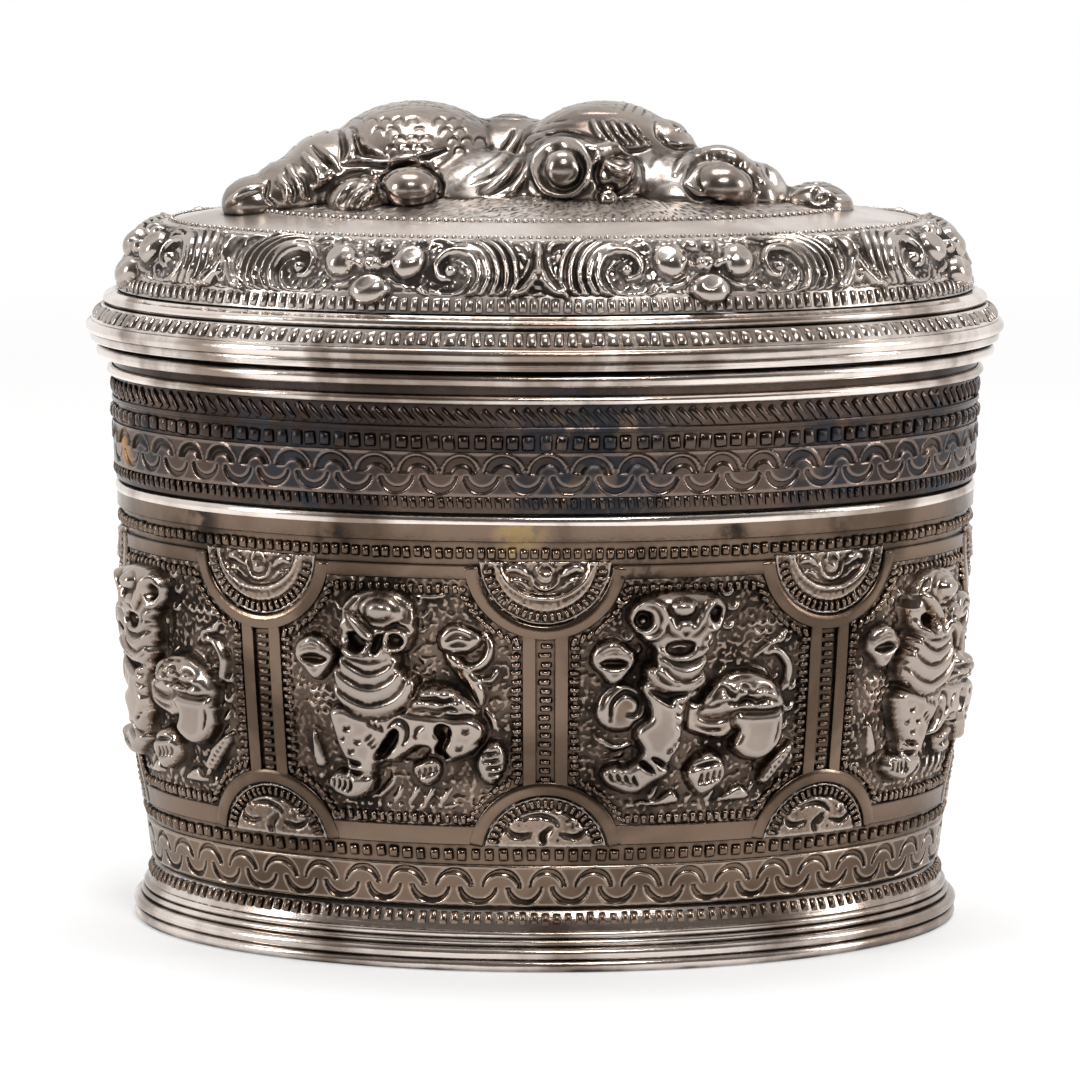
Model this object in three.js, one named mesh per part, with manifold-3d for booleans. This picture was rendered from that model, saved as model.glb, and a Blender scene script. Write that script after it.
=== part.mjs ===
// An oval slip-lidded silver box, raised from sheet and chased in relief, with a reeded foot.
// Millimetres, +Z up, origin on the ground under the middle of the foot, +X along the long side.
import * as THREE from "three";
import { mergeVertices } from "three/addons/utils/BufferGeometryUtils.js";
import Module from "manifold-3d";

const wasm = await Module();
wasm.setup();

// Overall size, over the lip of the lid
const overallWidth = 90;
const overallDepth = 67;

// Sheet and solder
const wallSheet = 0.9;
const lidSheet = 0.9;
const neckSheet = 0.8;
const solderGap = 0.15;
const lidSeatGap = 0.3;
const ovalSteps = 48;

// Foot: four reeds under a cove, and the plate inside it
const footHeight = 6;
const footInset = 4.1;
const footThickness = 1.3;
const reedCount = 4;
const reedHeight = 0.95;
const reedDepth = 0.3;
const footTaper = 1.3;
const coveInset = 6.7;
const basePlateThickness = 1.1;

// Wall: waisted above the foot and flaring to the seam, with three plain raised bands. The lowest
// band is placed from the wall's foot, and the others from its top edge.
const wallHeight = 37.1;
const wallWaistInset = 6.1;
const wallTopInset = 3.15;
const wallBulge = 0.45;
const bandProud = 0.45;
const bandSlope = 0.2;
const lowBandRise = 5.85;
const lowBandHeight = 1.95;
const middleBandDrop = 4.3;
const middleBandHeight = 1.4;
const topBandDrop = 0.9;
const topBandHeight = 1.25;

// The frame round the panels: bars between them, and half medallions where a bar meets a band
const frameProud = 0.4;
const barWidth = 4.3;
const medallionRadius = 6.15;
const medallionRim = 1.35;
const medallionSink = 1.2;
const ringSteps = 3;

// The wire that finishes the wall's top edge
const rimWireHeight = 0.9;
const rimWireProud = 0.35;

// Neck sleeve that the lid slides over
const neckSeat = 5;
const neckStand = 8.4;

// Lid skirt and the two wires round its top
const skirtHeight = 13.2;
const skirtBottomInset = 2.8;
const skirtTopInset = 2.5;
const lowerWireHeight = 0.95;
const lowerWireProud = 0.45;
const lowerWireDrop = 2.15;
const upperWireHeight = 1.2;
const upperWireProud = 1.4;
const upperWireDrop = 0.1;

// Lip: the broad moulding over the skirt. Its outline, from the bottom up, is a fascia, a roll, a
// slope and a fillet, as shares of its height and of how far in its top edge lies.
const lipHeight = 5;
const lipTopInset = 2.5;
const lipCurve = [
  { name: "fascia_foot", inward: 0.18, upward: 0.06 },
  { name: "fascia_top", inward: 0.18, upward: 0.19 },
  { name: "roll_low", inward: 0, upward: 0.26 },
  { name: "roll_high", inward: 0, upward: 0.38 },
  { name: "slope_foot", inward: 0.2, upward: 0.45 },
  { name: "slope_top", inward: 0.65, upward: 0.74 },
  { name: "fillet", inward: 0.66, upward: 0.92 },
  { name: "top_edge", inward: 1, upward: 1 },
];

// Cover: a rounded shoulder and a low dome. The shoulder's curve is given as shares of its way in and
// of its height, and the dome's rings as shares of its half width.
const shoulderHeight = 6.6;
const shoulderFootInset = 3.1;
const shoulderInset = 7.8;
const shoulderCurve = [
  { inward: 0, upward: 0 },
  { inward: 0.085, upward: 0.2 },
  { inward: 0.32, upward: 0.58 },
  { inward: 0.47, upward: 0.76 },
  { inward: 0.7, upward: 0.9 },
  { inward: 1, upward: 1 },
];
const domeRise = 4;
const domePower = 1.6;
const domeRings = [0.84, 0.66, 0.44, 0.22, 0];

// Raised figures: lions in the wall's panels, flowers round the shoulder, and the beast on the dome
const middleInset = 4.2;
const panelCount = 8;
const panelFloor = 9.85;
const panelHeadroom = 7.25;
const panelWidth = 19.4;
const lionProud = 2.5;
const lionSides = 6;
const pawSides = 5;
const smallPartShare = 0.7;
const flowerCount = 7;
const flowerProud = 1.45;
const flowerSides = 5;
const beastSides = 7;
const beastRise = 8;

// Colours and finish of the silver
const darkSilver = { color: 0x6f675f, roughness: 0.42, metalness: 1 };
const brightSilver = { color: 0x9c948b, roughness: 0.3, metalness: 1 };
const plainSilver = { color: 0x8a8279, roughness: 0.36, metalness: 1 };

// Heights worked out from the sizes above
const footTop = footHeight;
const wallBottom = footTop + solderGap;
const seam = wallBottom + wallHeight;
const rimTop = seam + rimWireProud;
const lidBottom = rimTop + lidSeatGap;
const skirtTop = lidBottom + skirtHeight;
const lipBottom = skirtTop + solderGap;
const lipTop = lipBottom + lipHeight;
const coverBottom = lipTop + solderGap;
const shoulderTop = coverBottom + shoulderHeight;
const lipHalfWidth = overallWidth / 2;
const lipHalfDepth = overallDepth / 2;
const domeHalfWidth = lipHalfWidth - shoulderInset;
const domeHalfDepth = lipHalfDepth - shoulderInset;

// The half depth of the oval whose half width is given: rings keep an even distance from each other,
// and inside the dome they shrink towards one point.
function halfDepthOf(halfWidth) {
  if (halfWidth < domeHalfWidth) return (halfWidth * domeHalfDepth) / domeHalfWidth;
  return halfWidth - (lipHalfWidth - lipHalfDepth);
}

// A ring's profile point, given as its distance in from the lip's edge and its height.
function at(inset, height) {
  return new THREE.Vector2(lipHalfWidth - inset, height);
}

// A profile turned round the oval. The profile runs up the outside and down the inside, or starts
// and ends on the axis.
function ovalTurned(profile) {
  const points = profile[0].x > 0 ? [...profile, profile[0].clone()] : profile;
  const geometry = new THREE.LatheGeometry(points, ovalSteps);
  const place = geometry.getAttribute("position");
  for (let i = 0; i < place.count; i++) {
    const x = place.getX(i);
    const height = place.getY(i);
    const across = place.getZ(i);
    const radius = Math.hypot(x, across);
    const squeeze = radius > 0 ? halfDepthOf(radius) / radius : 1;
    place.setXYZ(i, x, -across * squeeze, height);
  }
  return closed(geometry);
}

// The geometry with its shared corners merged, facing outwards.
function closed(geometry) {
  const bare = geometry.clone();
  bare.deleteAttribute("normal");
  bare.deleteAttribute("uv");
  const merged = mergeVertices(bare, 1e-4);
  const corner = merged.index.array;
  const kept = [];
  for (let i = 0; i < corner.length; i += 3) {
    const [a, b, c] = [corner[i], corner[i + 1], corner[i + 2]];
    if (a !== b && b !== c && c !== a) kept.push(a, b, c);
  }
  merged.setIndex(kept);
  return merged;
}

function solid(geometry) {
  return new wasm.Manifold(
    new wasm.Mesh({
      numProp: 3,
      vertProperties: Float32Array.from(geometry.getAttribute("position").array),
      triVerts: Uint32Array.from(geometry.index.array),
    }),
  );
}

function geometryOf(made) {
  const mesh = made.getMesh();
  const geometry = new THREE.BufferGeometry();
  geometry.setAttribute("position", new THREE.BufferAttribute(mesh.vertProperties, 3));
  geometry.setIndex(new THREE.BufferAttribute(mesh.triVerts, 1));
  return geometry;
}

function piece(name, geometry, finish) {
  const shown = geometry.toNonIndexed();
  shown.computeVertexNormals();
  const mesh = new THREE.Mesh(shown, new THREE.MeshStandardMaterial(finish));
  mesh.name = name;
  return mesh;
}

// The wall's outer inset at a height: a straight flare, a little fuller at its middle.
function wallInset(height) {
  const share = (height - wallBottom) / wallHeight;
  const flare = wallWaistInset + (wallTopInset - wallWaistInset) * share;
  return flare - wallBulge * Math.sin(Math.PI * share);
}

// The angle round the oval at a distance from the front, measured along the middle ring.
const middleHalfWidth = lipHalfWidth - middleInset;
const middleHalfDepth = halfDepthOf(middleHalfWidth);
const walkSteps = 720;
function angleAt(distance) {
  const step = (Math.sign(distance) * 2 * Math.PI) / walkSteps;
  let angle = -Math.PI / 2;
  let left = Math.abs(distance);
  let stride = 0;
  while (left > stride) {
    left -= stride;
    if (stride > 0) angle += step;
    const halfway = angle + step / 2;
    const slope = Math.hypot(middleHalfWidth * Math.sin(halfway), middleHalfDepth * Math.cos(halfway));
    stride = Math.abs(step) * slope;
  }
  return stride > 0 ? angle + (step * left) / stride : angle;
}

// A point on the ring of the given half width, with the outward direction there.
function onOval(halfWidth, distance) {
  const halfDepth = halfDepthOf(halfWidth);
  const angle = angleAt(distance);
  const point = new THREE.Vector2(halfWidth * Math.cos(angle), halfDepth * Math.sin(angle));
  const outward = new THREE.Vector2(point.x / halfWidth ** 2, point.y / halfDepth ** 2).normalize();
  return { point, outward };
}

// The way round the middle ring
const middleSum = middleHalfWidth + middleHalfDepth;
const middleRatio = (3 * (middleHalfWidth - middleHalfDepth) ** 2) / middleSum ** 2;
const wayRound = Math.PI * middleSum * (1 + middleRatio / (10 + Math.sqrt(4 - middleRatio)));
const panelPitch = wayRound / panelCount;
const flowerPitch = wayRound / flowerCount;

// Foot ring: reeds on a taper, then a cove up to the waist
function footProfile() {
  const outer = [];
  const halfReed = reedHeight / 2;
  for (let reed = 0; reed < reedCount; reed++) {
    const inset = footInset + (footTaper * reed) / reedCount;
    const low = reed * reedHeight;
    const edge = inset + reedDepth;
    if (reed === 0) outer.push(at(edge, 0));
    outer.push(at(inset, low + halfReed));
    outer.push(at(edge + footTaper / reedCount, low + reedHeight));
  }
  outer.push(at(coveInset, footTop));
  const inner = [at(coveInset + footThickness, footTop), at(footInset + reedDepth + footThickness, 0)];
  return [...outer, ...inner];
}
const footRing = piece("foot_ring", ovalTurned(footProfile()), darkSilver);

// Base plate: lies inside the foot's upper edge, under the wall
function footInnerInset(height) {
  const low = footInset + reedDepth + footThickness;
  return low + ((coveInset + footThickness - low) * height) / footTop;
}
function plateProfile() {
  const edge = footInnerInset(footTop) + solderGap;
  const low = footTop - basePlateThickness;
  const onAxis = lipHalfWidth;
  return [at(onAxis, low), at(edge, low), at(edge, footTop), at(onAxis, footTop)];
}
const basePlate = piece("base_plate", ovalTurned(plateProfile()), plainSilver);

// A rounded lump for chased work, with each corner moved to its place by the given function.
function lump(halfSize, sides, placed) {
  const ball = new THREE.SphereGeometry(1, sides, sides - 2);
  const corners = ball.getAttribute("position");
  for (let i = 0; i < corners.count; i++) {
    const corner = new THREE.Vector3().fromBufferAttribute(corners, i).multiply(halfSize);
    corners.setXYZ(i, ...placed(corner).toArray());
  }
  return solid(closed(ball));
}

// One chased lion. Each part gives its place in the panel, as shares of the half width and of the
// height, its half sizes as shares of the panel's height, its slant and how proud it stands. Parts
// that stand less proud than smallPartShare have fewer sides.
const lionInProfile = [
  { name: "head", x: -0.13, z: 0.88, wide: 0.155, tall: 0.15, slant: 0, proud: 1 },
  { name: "neck", x: -0.22, z: 0.61, wide: 0.165, tall: 0.18, slant: 0, proud: 1.04 },
  { name: "chest", x: -0.3, z: 0.32, wide: 0.13, tall: 0.22, slant: -0.15, proud: 0.82 },
  { name: "fore_paw", x: -0.43, z: 0.08, wide: 0.135, tall: 0.075, slant: 0, proud: 0.66 },
  { name: "raised_paw", x: -0.76, z: 0.7, wide: 0.105, tall: 0.105, slant: 0, proud: 0.54 },
  { name: "haunch", x: 0.41, z: 0.43, wide: 0.225, tall: 0.195, slant: 0, proud: 0.76 },
  { name: "hind_paw", x: 0.29, z: 0.18, wide: 0.075, tall: 0.075, slant: 0, proud: 0.6 },
  { name: "hind_foot", x: 0.92, z: 0.22, wide: 0.075, tall: 0.105, slant: 0, proud: 0.5 },
  { name: "tail", x: 0.72, z: 0.7, wide: 0.06, tall: 0.2, slant: 0, proud: 0.38 },
];
const lionFacing = [
  { name: "head", x: -0.18, z: 0.88, wide: 0.22, tall: 0.155, slant: 0, proud: 1 },
  { name: "neck", x: -0.19, z: 0.67, wide: 0.135, tall: 0.12, slant: 0, proud: 1.06 },
  { name: "chest", x: -0.29, z: 0.38, wide: 0.13, tall: 0.23, slant: -0.1, proud: 0.84 },
  { name: "near_paw", x: -0.56, z: 0.13, wide: 0.15, tall: 0.075, slant: 0, proud: 0.68 },
  { name: "far_paw", x: 0.15, z: 0.12, wide: 0.095, tall: 0.09, slant: 0, proud: 0.64 },
  { name: "raised_paw", x: -0.76, z: 0.71, wide: 0.105, tall: 0.105, slant: 0, proud: 0.54 },
  { name: "forearm", x: -0.66, z: 0.48, wide: 0.11, tall: 0.095, slant: 0, proud: 0.5 },
  { name: "haunch", x: 0.45, z: 0.43, wide: 0.22, tall: 0.235, slant: 0, proud: 0.78 },
  { name: "hind_foot", x: 0.86, z: 0.17, wide: 0.085, tall: 0.11, slant: 0, proud: 0.48 },
  { name: "tail", x: 0.86, z: 0.6, wide: 0.065, tall: 0.14, slant: 0, proud: 0.32 },
];

// A place on the wall, by its way round, its height and how far it stands out.
function onWall(along, up, out) {
  const { point, outward } = onOval(lipHalfWidth - wallInset(up), along);
  return new THREE.Vector3(point.x + out * outward.x, point.y + out * outward.y, up);
}

// The lion's parts raised on the wall, in the panel whose middle lies at this distance from the front.
// Their backs stay inside the sheet.
const panelHeight = wallHeight - panelFloor - panelHeadroom;
function lionOnWall(parts, middle) {
  return parts.map((part) => {
    const height = wallBottom + panelFloor + part.z * panelHeight;
    const along = middle + (part.x * panelWidth) / 2;
    const proud = part.proud * lionProud;
    const halfSize = new THREE.Vector3(part.wide * panelHeight, part.tall * panelHeight, proud);
    const slant = new THREE.Vector3(0, 0, 1);
    return lump(halfSize, part.proud < smallPartShare ? pawSides : lionSides, (corner) => {
      corner.applyAxisAngle(slant, part.slant);
      const out = corner.z < 0 ? (corner.z * wallSheet) / (2 * proud) : corner.z;
      return onWall(along + corner.x, height + corner.y, out);
    });
  });
}

// A flat shape of the frame, bent onto the wall in the middle of a bar. Its back stays in the sheet.
function framePiece(shape, middle) {
  const plate = new THREE.ExtrudeGeometry(shape, { depth: 1, bevelEnabled: false, curveSegments: ringSteps });
  const flat = closed(plate);
  const corners = flat.getAttribute("position");
  for (let i = 0; i < corners.count; i++) {
    const out = corners.getZ(i) > 0 ? frameProud : -wallSheet / 2;
    corners.setXYZ(i, ...onWall(middle + corners.getX(i), corners.getY(i), out).toArray());
  }
  return solid(flat);
}

// Half medallion: a ring about a point below or above the panels, from where it leaves the band.
const ringOuter = medallionRadius + medallionRim;
const lowRingCentre = wallBottom + lowBandRise - medallionSink;
const highRingCentre = seam - middleBandDrop + medallionSink - middleBandHeight / 2;
function halfRing(centre, bandEdge, facing) {
  const level = Math.abs(bandEdge - centre);
  const start = facing > 0 ? 0 : Math.PI;
  const outer = Math.asin(level / ringOuter);
  const inner = Math.asin(level / medallionRadius);
  const ring = new THREE.Shape();
  ring.absarc(0, centre, ringOuter, start + outer, start + Math.PI - outer, false);
  ring.absarc(0, centre, medallionRadius, start + Math.PI - inner, start + inner, true);
  return ring;
}
function frameBar() {
  const reach = Math.sqrt(ringOuter ** 2 - barWidth ** 2 / 4) - medallionRim / 2;
  const bar = new THREE.Shape();
  bar.moveTo(-barWidth / 2, lowRingCentre + reach);
  bar.lineTo(barWidth / 2, lowRingCentre + reach);
  bar.lineTo(barWidth / 2, highRingCentre - reach);
  bar.lineTo(-barWidth / 2, highRingCentre - reach);
  return bar;
}

// Body wall: the flaring sheet with its bands, and with a frame and a lion for each of its panels
const lowBand = { low: wallBottom + lowBandRise, high: wallBottom + lowBandRise + lowBandHeight };
const middleBand = { low: seam - middleBandDrop - middleBandHeight, high: seam - middleBandDrop };
const topBand = { low: seam - topBandDrop - topBandHeight, high: seam - topBandDrop };
function wallSolid() {
  const outside = [at(wallInset(wallBottom), wallBottom)];
  for (const { low, high } of [lowBand, middleBand, topBand]) {
    outside.push(
      at(wallInset(low), low),
      at(wallInset(low) - bandProud, low + bandSlope),
      at(wallInset(high) - bandProud, high - bandSlope),
      at(wallInset(high), high),
    );
  }
  outside.push(at(wallInset(seam), seam));
  const middleHeight = (wallBottom + seam) / 2;
  const inside = [seam, middleHeight, wallBottom].map((height) => at(wallInset(height) + wallSheet, height));
  let raised = solid(ovalTurned([...outside, ...inside]));
  const frame = [
    halfRing(lowRingCentre, lowBand.high - bandSlope, 1),
    halfRing(highRingCentre, middleBand.low + bandSlope, -1),
    frameBar(),
  ];
  for (let panel = 0; panel < panelCount; panel++) {
    const barMiddle = (panel - panelCount / 2) * panelPitch;
    for (const shape of frame) raised = raised.add(framePiece(shape, barMiddle));
    const parts = panel % 2 === 0 ? lionFacing : lionInProfile;
    for (const part of lionOnWall(parts, barMiddle + panelPitch / 2)) raised = raised.add(part);
  }
  return raised;
}
const bodyWall = piece("body_wall", geometryOf(wallSolid()), darkSilver);

// Rim wire: caps the wall's top edge and stands a little proud of it
function rimWireProfile() {
  const wallEdge = wallInset(seam) - solderGap;
  const proud = wallEdge - rimWireProud;
  const low = seam - rimWireHeight + solderGap;
  const inner = wallInset(seam) + wallSheet;
  return [
    at(wallEdge, low),
    at(proud, low + rimWireHeight / 2),
    at(wallEdge, rimTop),
    at(inner, rimTop),
    at(inner, seam + solderGap),
    at(wallEdge, seam + solderGap),
  ];
}
const rimWire = piece("body_rim_wire", ovalTurned(rimWireProfile()), brightSilver);

// Neck sleeve: soldered inside the wall, standing above the seam
const neckBottom = seam - neckSeat;
const neckInset = wallInset(neckBottom) + wallSheet + solderGap;
const neckTop = seam + neckStand;
function neckProfile() {
  const inner = neckInset + neckSheet;
  return [at(neckInset, neckBottom), at(neckInset, neckTop), at(inner, neckTop), at(inner, neckBottom)];
}
const neckCollar = piece("neck_collar", ovalTurned(neckProfile()), plainSilver);

// Lid skirt: slides over the neck
function skirtInset(height) {
  return skirtBottomInset + ((skirtTopInset - skirtBottomInset) * (height - lidBottom)) / skirtHeight;
}
function skirtProfile() {
  return [
    at(skirtInset(lidBottom), lidBottom),
    at(skirtInset(skirtTop), skirtTop),
    at(skirtInset(skirtTop) + lidSheet, skirtTop),
    at(skirtInset(lidBottom) + lidSheet, lidBottom),
  ];
}
const lidSkirt = piece("lid_skirt", ovalTurned(skirtProfile()), darkSilver);

// Wires soldered round the top of the skirt
function wireProfile(drop, height, proud) {
  const high = skirtTop - drop;
  const low = high - height;
  const seat = skirtInset(high) - solderGap;
  const crown = seat - proud;
  return [at(seat, low), at(crown, low + height / 4), at(crown, high - height / 4), at(seat, high)];
}
const lowerWire = piece(
  "rim_wire_lower",
  ovalTurned(wireProfile(lowerWireDrop, lowerWireHeight, lowerWireProud)),
  brightSilver,
);
const upperWire = piece(
  "rim_wire_upper",
  ovalTurned(wireProfile(upperWireDrop, upperWireHeight, upperWireProud)),
  brightSilver,
);

// Lip: its outline, closed by a plain seat over the skirt
function lipProfile() {
  const inner = skirtTopInset + lidSheet;
  const outline = lipCurve.map(({ inward, upward }) => {
    return at(inward * lipTopInset, lipBottom + upward * lipHeight);
  });
  return [at(inner, lipBottom), at(skirtTopInset - solderGap, lipBottom), ...outline, at(inner, lipTop)];
}
const rimLip = piece("rim_lip", ovalTurned(lipProfile()), brightSilver);

// Cover: its shoulder, its dome, and the height of its outside over any point
const shoulderDepth = shoulderInset - shoulderFootInset;
const shoulderLine = shoulderCurve.map(({ inward, upward }) => ({
  inset: shoulderFootInset + inward * shoulderDepth,
  height: coverBottom + upward * shoulderHeight,
}));
function domeRing(share) {
  return { halfWidth: share * domeHalfWidth, height: shoulderTop + domeRise * (1 - share ** domePower) };
}
const domeLine = domeRings.map(domeRing);
function everyOther(_, i) {
  return i % 2 === 0;
}
function coverOutside() {
  const shoulder = shoulderLine.map(({ inset, height }) => at(inset, height));
  const dome = domeLine.map(({ halfWidth, height }) => new THREE.Vector2(halfWidth, height));
  return [...shoulder, ...dome];
}
function coverInside() {
  const shoulder = shoulderLine
    .filter(everyOther)
    .map(({ inset, height }) => at(inset + lidSheet, Math.max(coverBottom, height - lidSheet)));
  const dome = domeLine
    .filter(everyOther)
    .map(({ halfWidth, height }) => new THREE.Vector2(halfWidth, height - lidSheet));
  return [...shoulder, ...dome];
}
function domeHeight(x, y) {
  const share = Math.min(1, Math.hypot(x / domeHalfWidth, y / domeHalfDepth));
  return domeRing(share).height;
}

// The shoulder's line with the way up it to each of its points
const shoulderWay = shoulderLine.map(({ inset, height }, i) => {
  const before = shoulderLine.slice(0, i + 1);
  const way = before.slice(1).reduce((sum, point, j) => {
    return sum + Math.hypot(point.inset - before[j].inset, point.height - before[j].height);
  }, 0);
  return { inset, height, way };
});
const shoulderLength = shoulderWay[shoulderWay.length - 1].way;

// A place on the shoulder, by its way round, its way up the slope and how far it stands out.
function onShoulder(along, up, out) {
  const last = shoulderWay.length - 1;
  const above = shoulderWay.findIndex(({ way }, i) => i > 0 && (up <= way || i === last));
  const [from, to] = [shoulderWay[above - 1], shoulderWay[above]];
  const span = to.way - from.way;
  const share = (up - from.way) / span;
  const lean = (to.inset - from.inset) / span;
  const steep = (to.height - from.height) / span;
  const inset = from.inset + share * (to.inset - from.inset) - out * steep;
  const { point } = onOval(lipHalfWidth - inset, along);
  return new THREE.Vector3(point.x, point.y, from.height + share * (to.height - from.height) + out * lean);
}

// The scroll band: each repeat has a flower of four lobes between curled leaves. Each part gives its
// place and half size round the box as shares of a repeat, and up the slope as shares of its length.
const scroll = [
  { name: "left_lobe", x: -0.101, v: 0.55, wide: 0.049, tall: 0.171, proud: 0.83 },
  { name: "right_lobe", x: 0.107, v: 0.55, wide: 0.049, tall: 0.171, proud: 0.83 },
  { name: "top_lobe", x: 0, v: 0.74, wide: 0.044, tall: 0.142, proud: 0.66 },
  { name: "hanging_lobe", x: 0, v: 0.24, wide: 0.055, tall: 0.177, proud: 1 },
  { name: "left_leaf", x: -0.23, v: 0.62, wide: 0.07, tall: 0.25, proud: 0.55 },
  { name: "right_leaf", x: 0.23, v: 0.62, wide: 0.07, tall: 0.25, proud: 0.55 },
];
function scrollParts(middle) {
  return scroll.map((part) => {
    const proud = part.proud * flowerProud;
    const halfSize = new THREE.Vector3(part.wide * flowerPitch, part.tall * shoulderLength, proud);
    return lump(halfSize, flowerSides, (corner) => {
      const out = corner.z < 0 ? (corner.z * lidSheet) / (2 * proud) : corner.z;
      return onShoulder(middle + part.x * flowerPitch + corner.x, part.v * shoulderLength + corner.y, out);
    });
  });
}

// The crouching beast: each part's place and half size as shares of the dome's half width and half
// depth, and the shares of the beast's full rise that it reaches and that it is half high.
const beast = [
  { name: "rump", x: -0.34, y: 0.06, wide: 0.253, deep: 0.374, reach: 0.99, half: 0.82 },
  { name: "back", x: -0.11, y: 0.1, wide: 0.2, deep: 0.257, reach: 0.69, half: 0.65 },
  { name: "flank", x: -0.22, y: -0.19, wide: 0.167, deep: 0.25, reach: 0.47, half: 0.57 },
  { name: "thigh", x: -0.54, y: -0.04, wide: 0.161, deep: 0.28, reach: 0.73, half: 0.6 },
  { name: "knee", x: -0.65, y: -0.12, wide: 0.108, deep: 0.195, reach: 0.51, half: 0.42 },
  { name: "hind_paw", x: -0.75, y: -0.18, wide: 0.09, deep: 0.163, reach: 0.38, half: 0.33 },
  { name: "shin", x: -0.48, y: -0.37, wide: 0.07, deep: 0.13, reach: 0.27, half: 0.3 },
  { name: "knob", x: -0.35, y: -0.44, wide: 0.073, deep: 0.125, reach: 0.4, half: 0.24 },
  { name: "head", x: 0.12, y: -0.02, wide: 0.226, deep: 0.342, reach: 0.92, half: 0.82 },
  { name: "face", x: 0.1, y: -0.23, wide: 0.172, deep: 0.25, reach: 0.58, half: 0.62 },
  { name: "snout", x: 0.28, y: -0.07, wide: 0.078, deep: 0.14, reach: 0.81, half: 0.38 },
  { name: "cheek", x: 0.3, y: -0.21, wide: 0.145, deep: 0.257, reach: 0.39, half: 0.5 },
  { name: "mane", x: -0.13, y: -0.33, wide: 0.097, deep: 0.18, reach: 0.32, half: 0.4 },
  { name: "curled_lobe", x: 0.44, y: -0.14, wide: 0.113, deep: 0.25, reach: 0.52, half: 0.55 },
  { name: "lobe_tip", x: 0.53, y: -0.11, wide: 0.07, deep: 0.187, reach: 0.42, half: 0.4 },
  { name: "lobe_foot", x: 0.41, y: -0.33, wide: 0.07, deep: 0.1, reach: 0.3, half: 0.28 },
  { name: "small_lobe", x: 0.71, y: -0.11, wide: 0.083, deep: 0.156, reach: 0.24, half: 0.3 },
  { name: "left_eye", x: 0.04, y: -0.42, wide: 0.043, deep: 0.058, reach: 0.53, half: 0.2 },
  { name: "right_eye", x: 0.16, y: -0.42, wide: 0.042, deep: 0.055, reach: 0.46, half: 0.19 },
  { name: "tail_root", x: -0.2, y: 0.49, wide: 0.14, deep: 0.156, reach: 0.33, half: 0.4 },
  { name: "tail_tip", x: 0.2, y: 0.5, wide: 0.188, deep: 0.14, reach: 0.28, half: 0.38 },
];
function coverSolid() {
  let raised = solid(ovalTurned([...coverOutside(), ...coverInside().reverse()]));
  for (const part of beast) {
    const x = part.x * domeHalfWidth;
    const y = part.y * domeHalfDepth;
    const halfHeight = part.half * beastRise;
    const middle = domeHeight(x, y) + part.reach * beastRise - halfHeight;
    const halfSize = new THREE.Vector3(part.wide * domeHalfWidth, halfHeight, part.deep * domeHalfDepth);
    const swollen = lump(halfSize, beastSides, (corner) => {
      const place = new THREE.Vector3(x + corner.x, y - corner.z, middle + corner.y);
      place.z = Math.max(place.z, domeHeight(place.x, place.y) - lidSheet / 2);
      return place;
    });
    raised = raised.add(swollen);
  }
  for (let flower = 0; flower < flowerCount; flower++) {
    for (const part of scrollParts((flower + 0.5) * flowerPitch)) raised = raised.add(part);
  }
  return raised;
}
const lidCover = piece("lid_cover", geometryOf(coverSolid()), darkSilver);

// The box: the body, and the lid that lifts off it
const box = new THREE.Group();
const body = new THREE.Group();
const lid = new THREE.Group();
body.add(footRing, basePlate, bodyWall, rimWire, neckCollar);
lid.add(lidSkirt, lowerWire, upperWire, rimLip, lidCover);
box.add(body, lid);

export default box;
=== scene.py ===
"""An oval silver box with a slip lid, chased with lions in panels and with a beast on its lid."""

import math
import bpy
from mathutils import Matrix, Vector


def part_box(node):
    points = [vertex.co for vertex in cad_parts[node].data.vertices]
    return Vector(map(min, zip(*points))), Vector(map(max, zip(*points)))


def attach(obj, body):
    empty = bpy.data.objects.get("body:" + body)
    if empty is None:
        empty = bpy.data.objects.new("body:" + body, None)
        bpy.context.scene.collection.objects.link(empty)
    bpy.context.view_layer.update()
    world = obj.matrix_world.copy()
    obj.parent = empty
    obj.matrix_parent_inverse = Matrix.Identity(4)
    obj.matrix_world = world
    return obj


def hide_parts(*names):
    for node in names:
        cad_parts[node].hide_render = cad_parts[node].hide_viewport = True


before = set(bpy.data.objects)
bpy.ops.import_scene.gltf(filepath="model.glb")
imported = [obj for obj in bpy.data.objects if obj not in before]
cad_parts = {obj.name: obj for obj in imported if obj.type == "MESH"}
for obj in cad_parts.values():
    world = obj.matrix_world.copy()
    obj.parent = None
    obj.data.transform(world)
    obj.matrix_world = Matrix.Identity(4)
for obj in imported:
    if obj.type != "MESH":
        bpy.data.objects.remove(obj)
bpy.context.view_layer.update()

from types import SimpleNamespace
import bpy
import numpy as np
from mathutils import Vector

MM = 0.001


# Camera and stage
# The box stands on a white table in front of a white sweep. The camera looks down on it a little,
# with a long lens, from half a metre away.
EYE = Vector((-0.0005, -0.508, 0.1075))
EYE_PITCH = 7.88
LENS_MM = 172.9
SENSOR_MM = 36
NEAREST_SEEN = 0.01
TABLE_SIDE = 6
TABLE_LEVEL = -0.02 * MM
TABLE_CLEAR, TABLE_FADE, TABLE_GLOW = 0.25, 0.75, 0.4
ROOM_DIM, ROOM_PALE = (0.12, 0.105, 0.095, 1), (0.95, 0.95, 0.95, 1)
ROOM_DIM_UP_TO, ROOM_PALE_FROM = 0.2, 0.75
WHITE = (1, 1, 1, 1)


def deselect():
    """Leaves nothing selected, since operators act on all that is."""
    for thing in bpy.context.selected_objects:
        thing.select_set(False)


def node_of(tree, kind, values=(), **settings):
    """A new shader node with these settings, and with plain values on some of its sockets."""
    node = tree.nodes.new(kind)
    for key, value in settings.items():
        setattr(node, key, value)
    for socket, value in dict(values).items():
        node.inputs[socket].default_value = value
    return node


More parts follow.
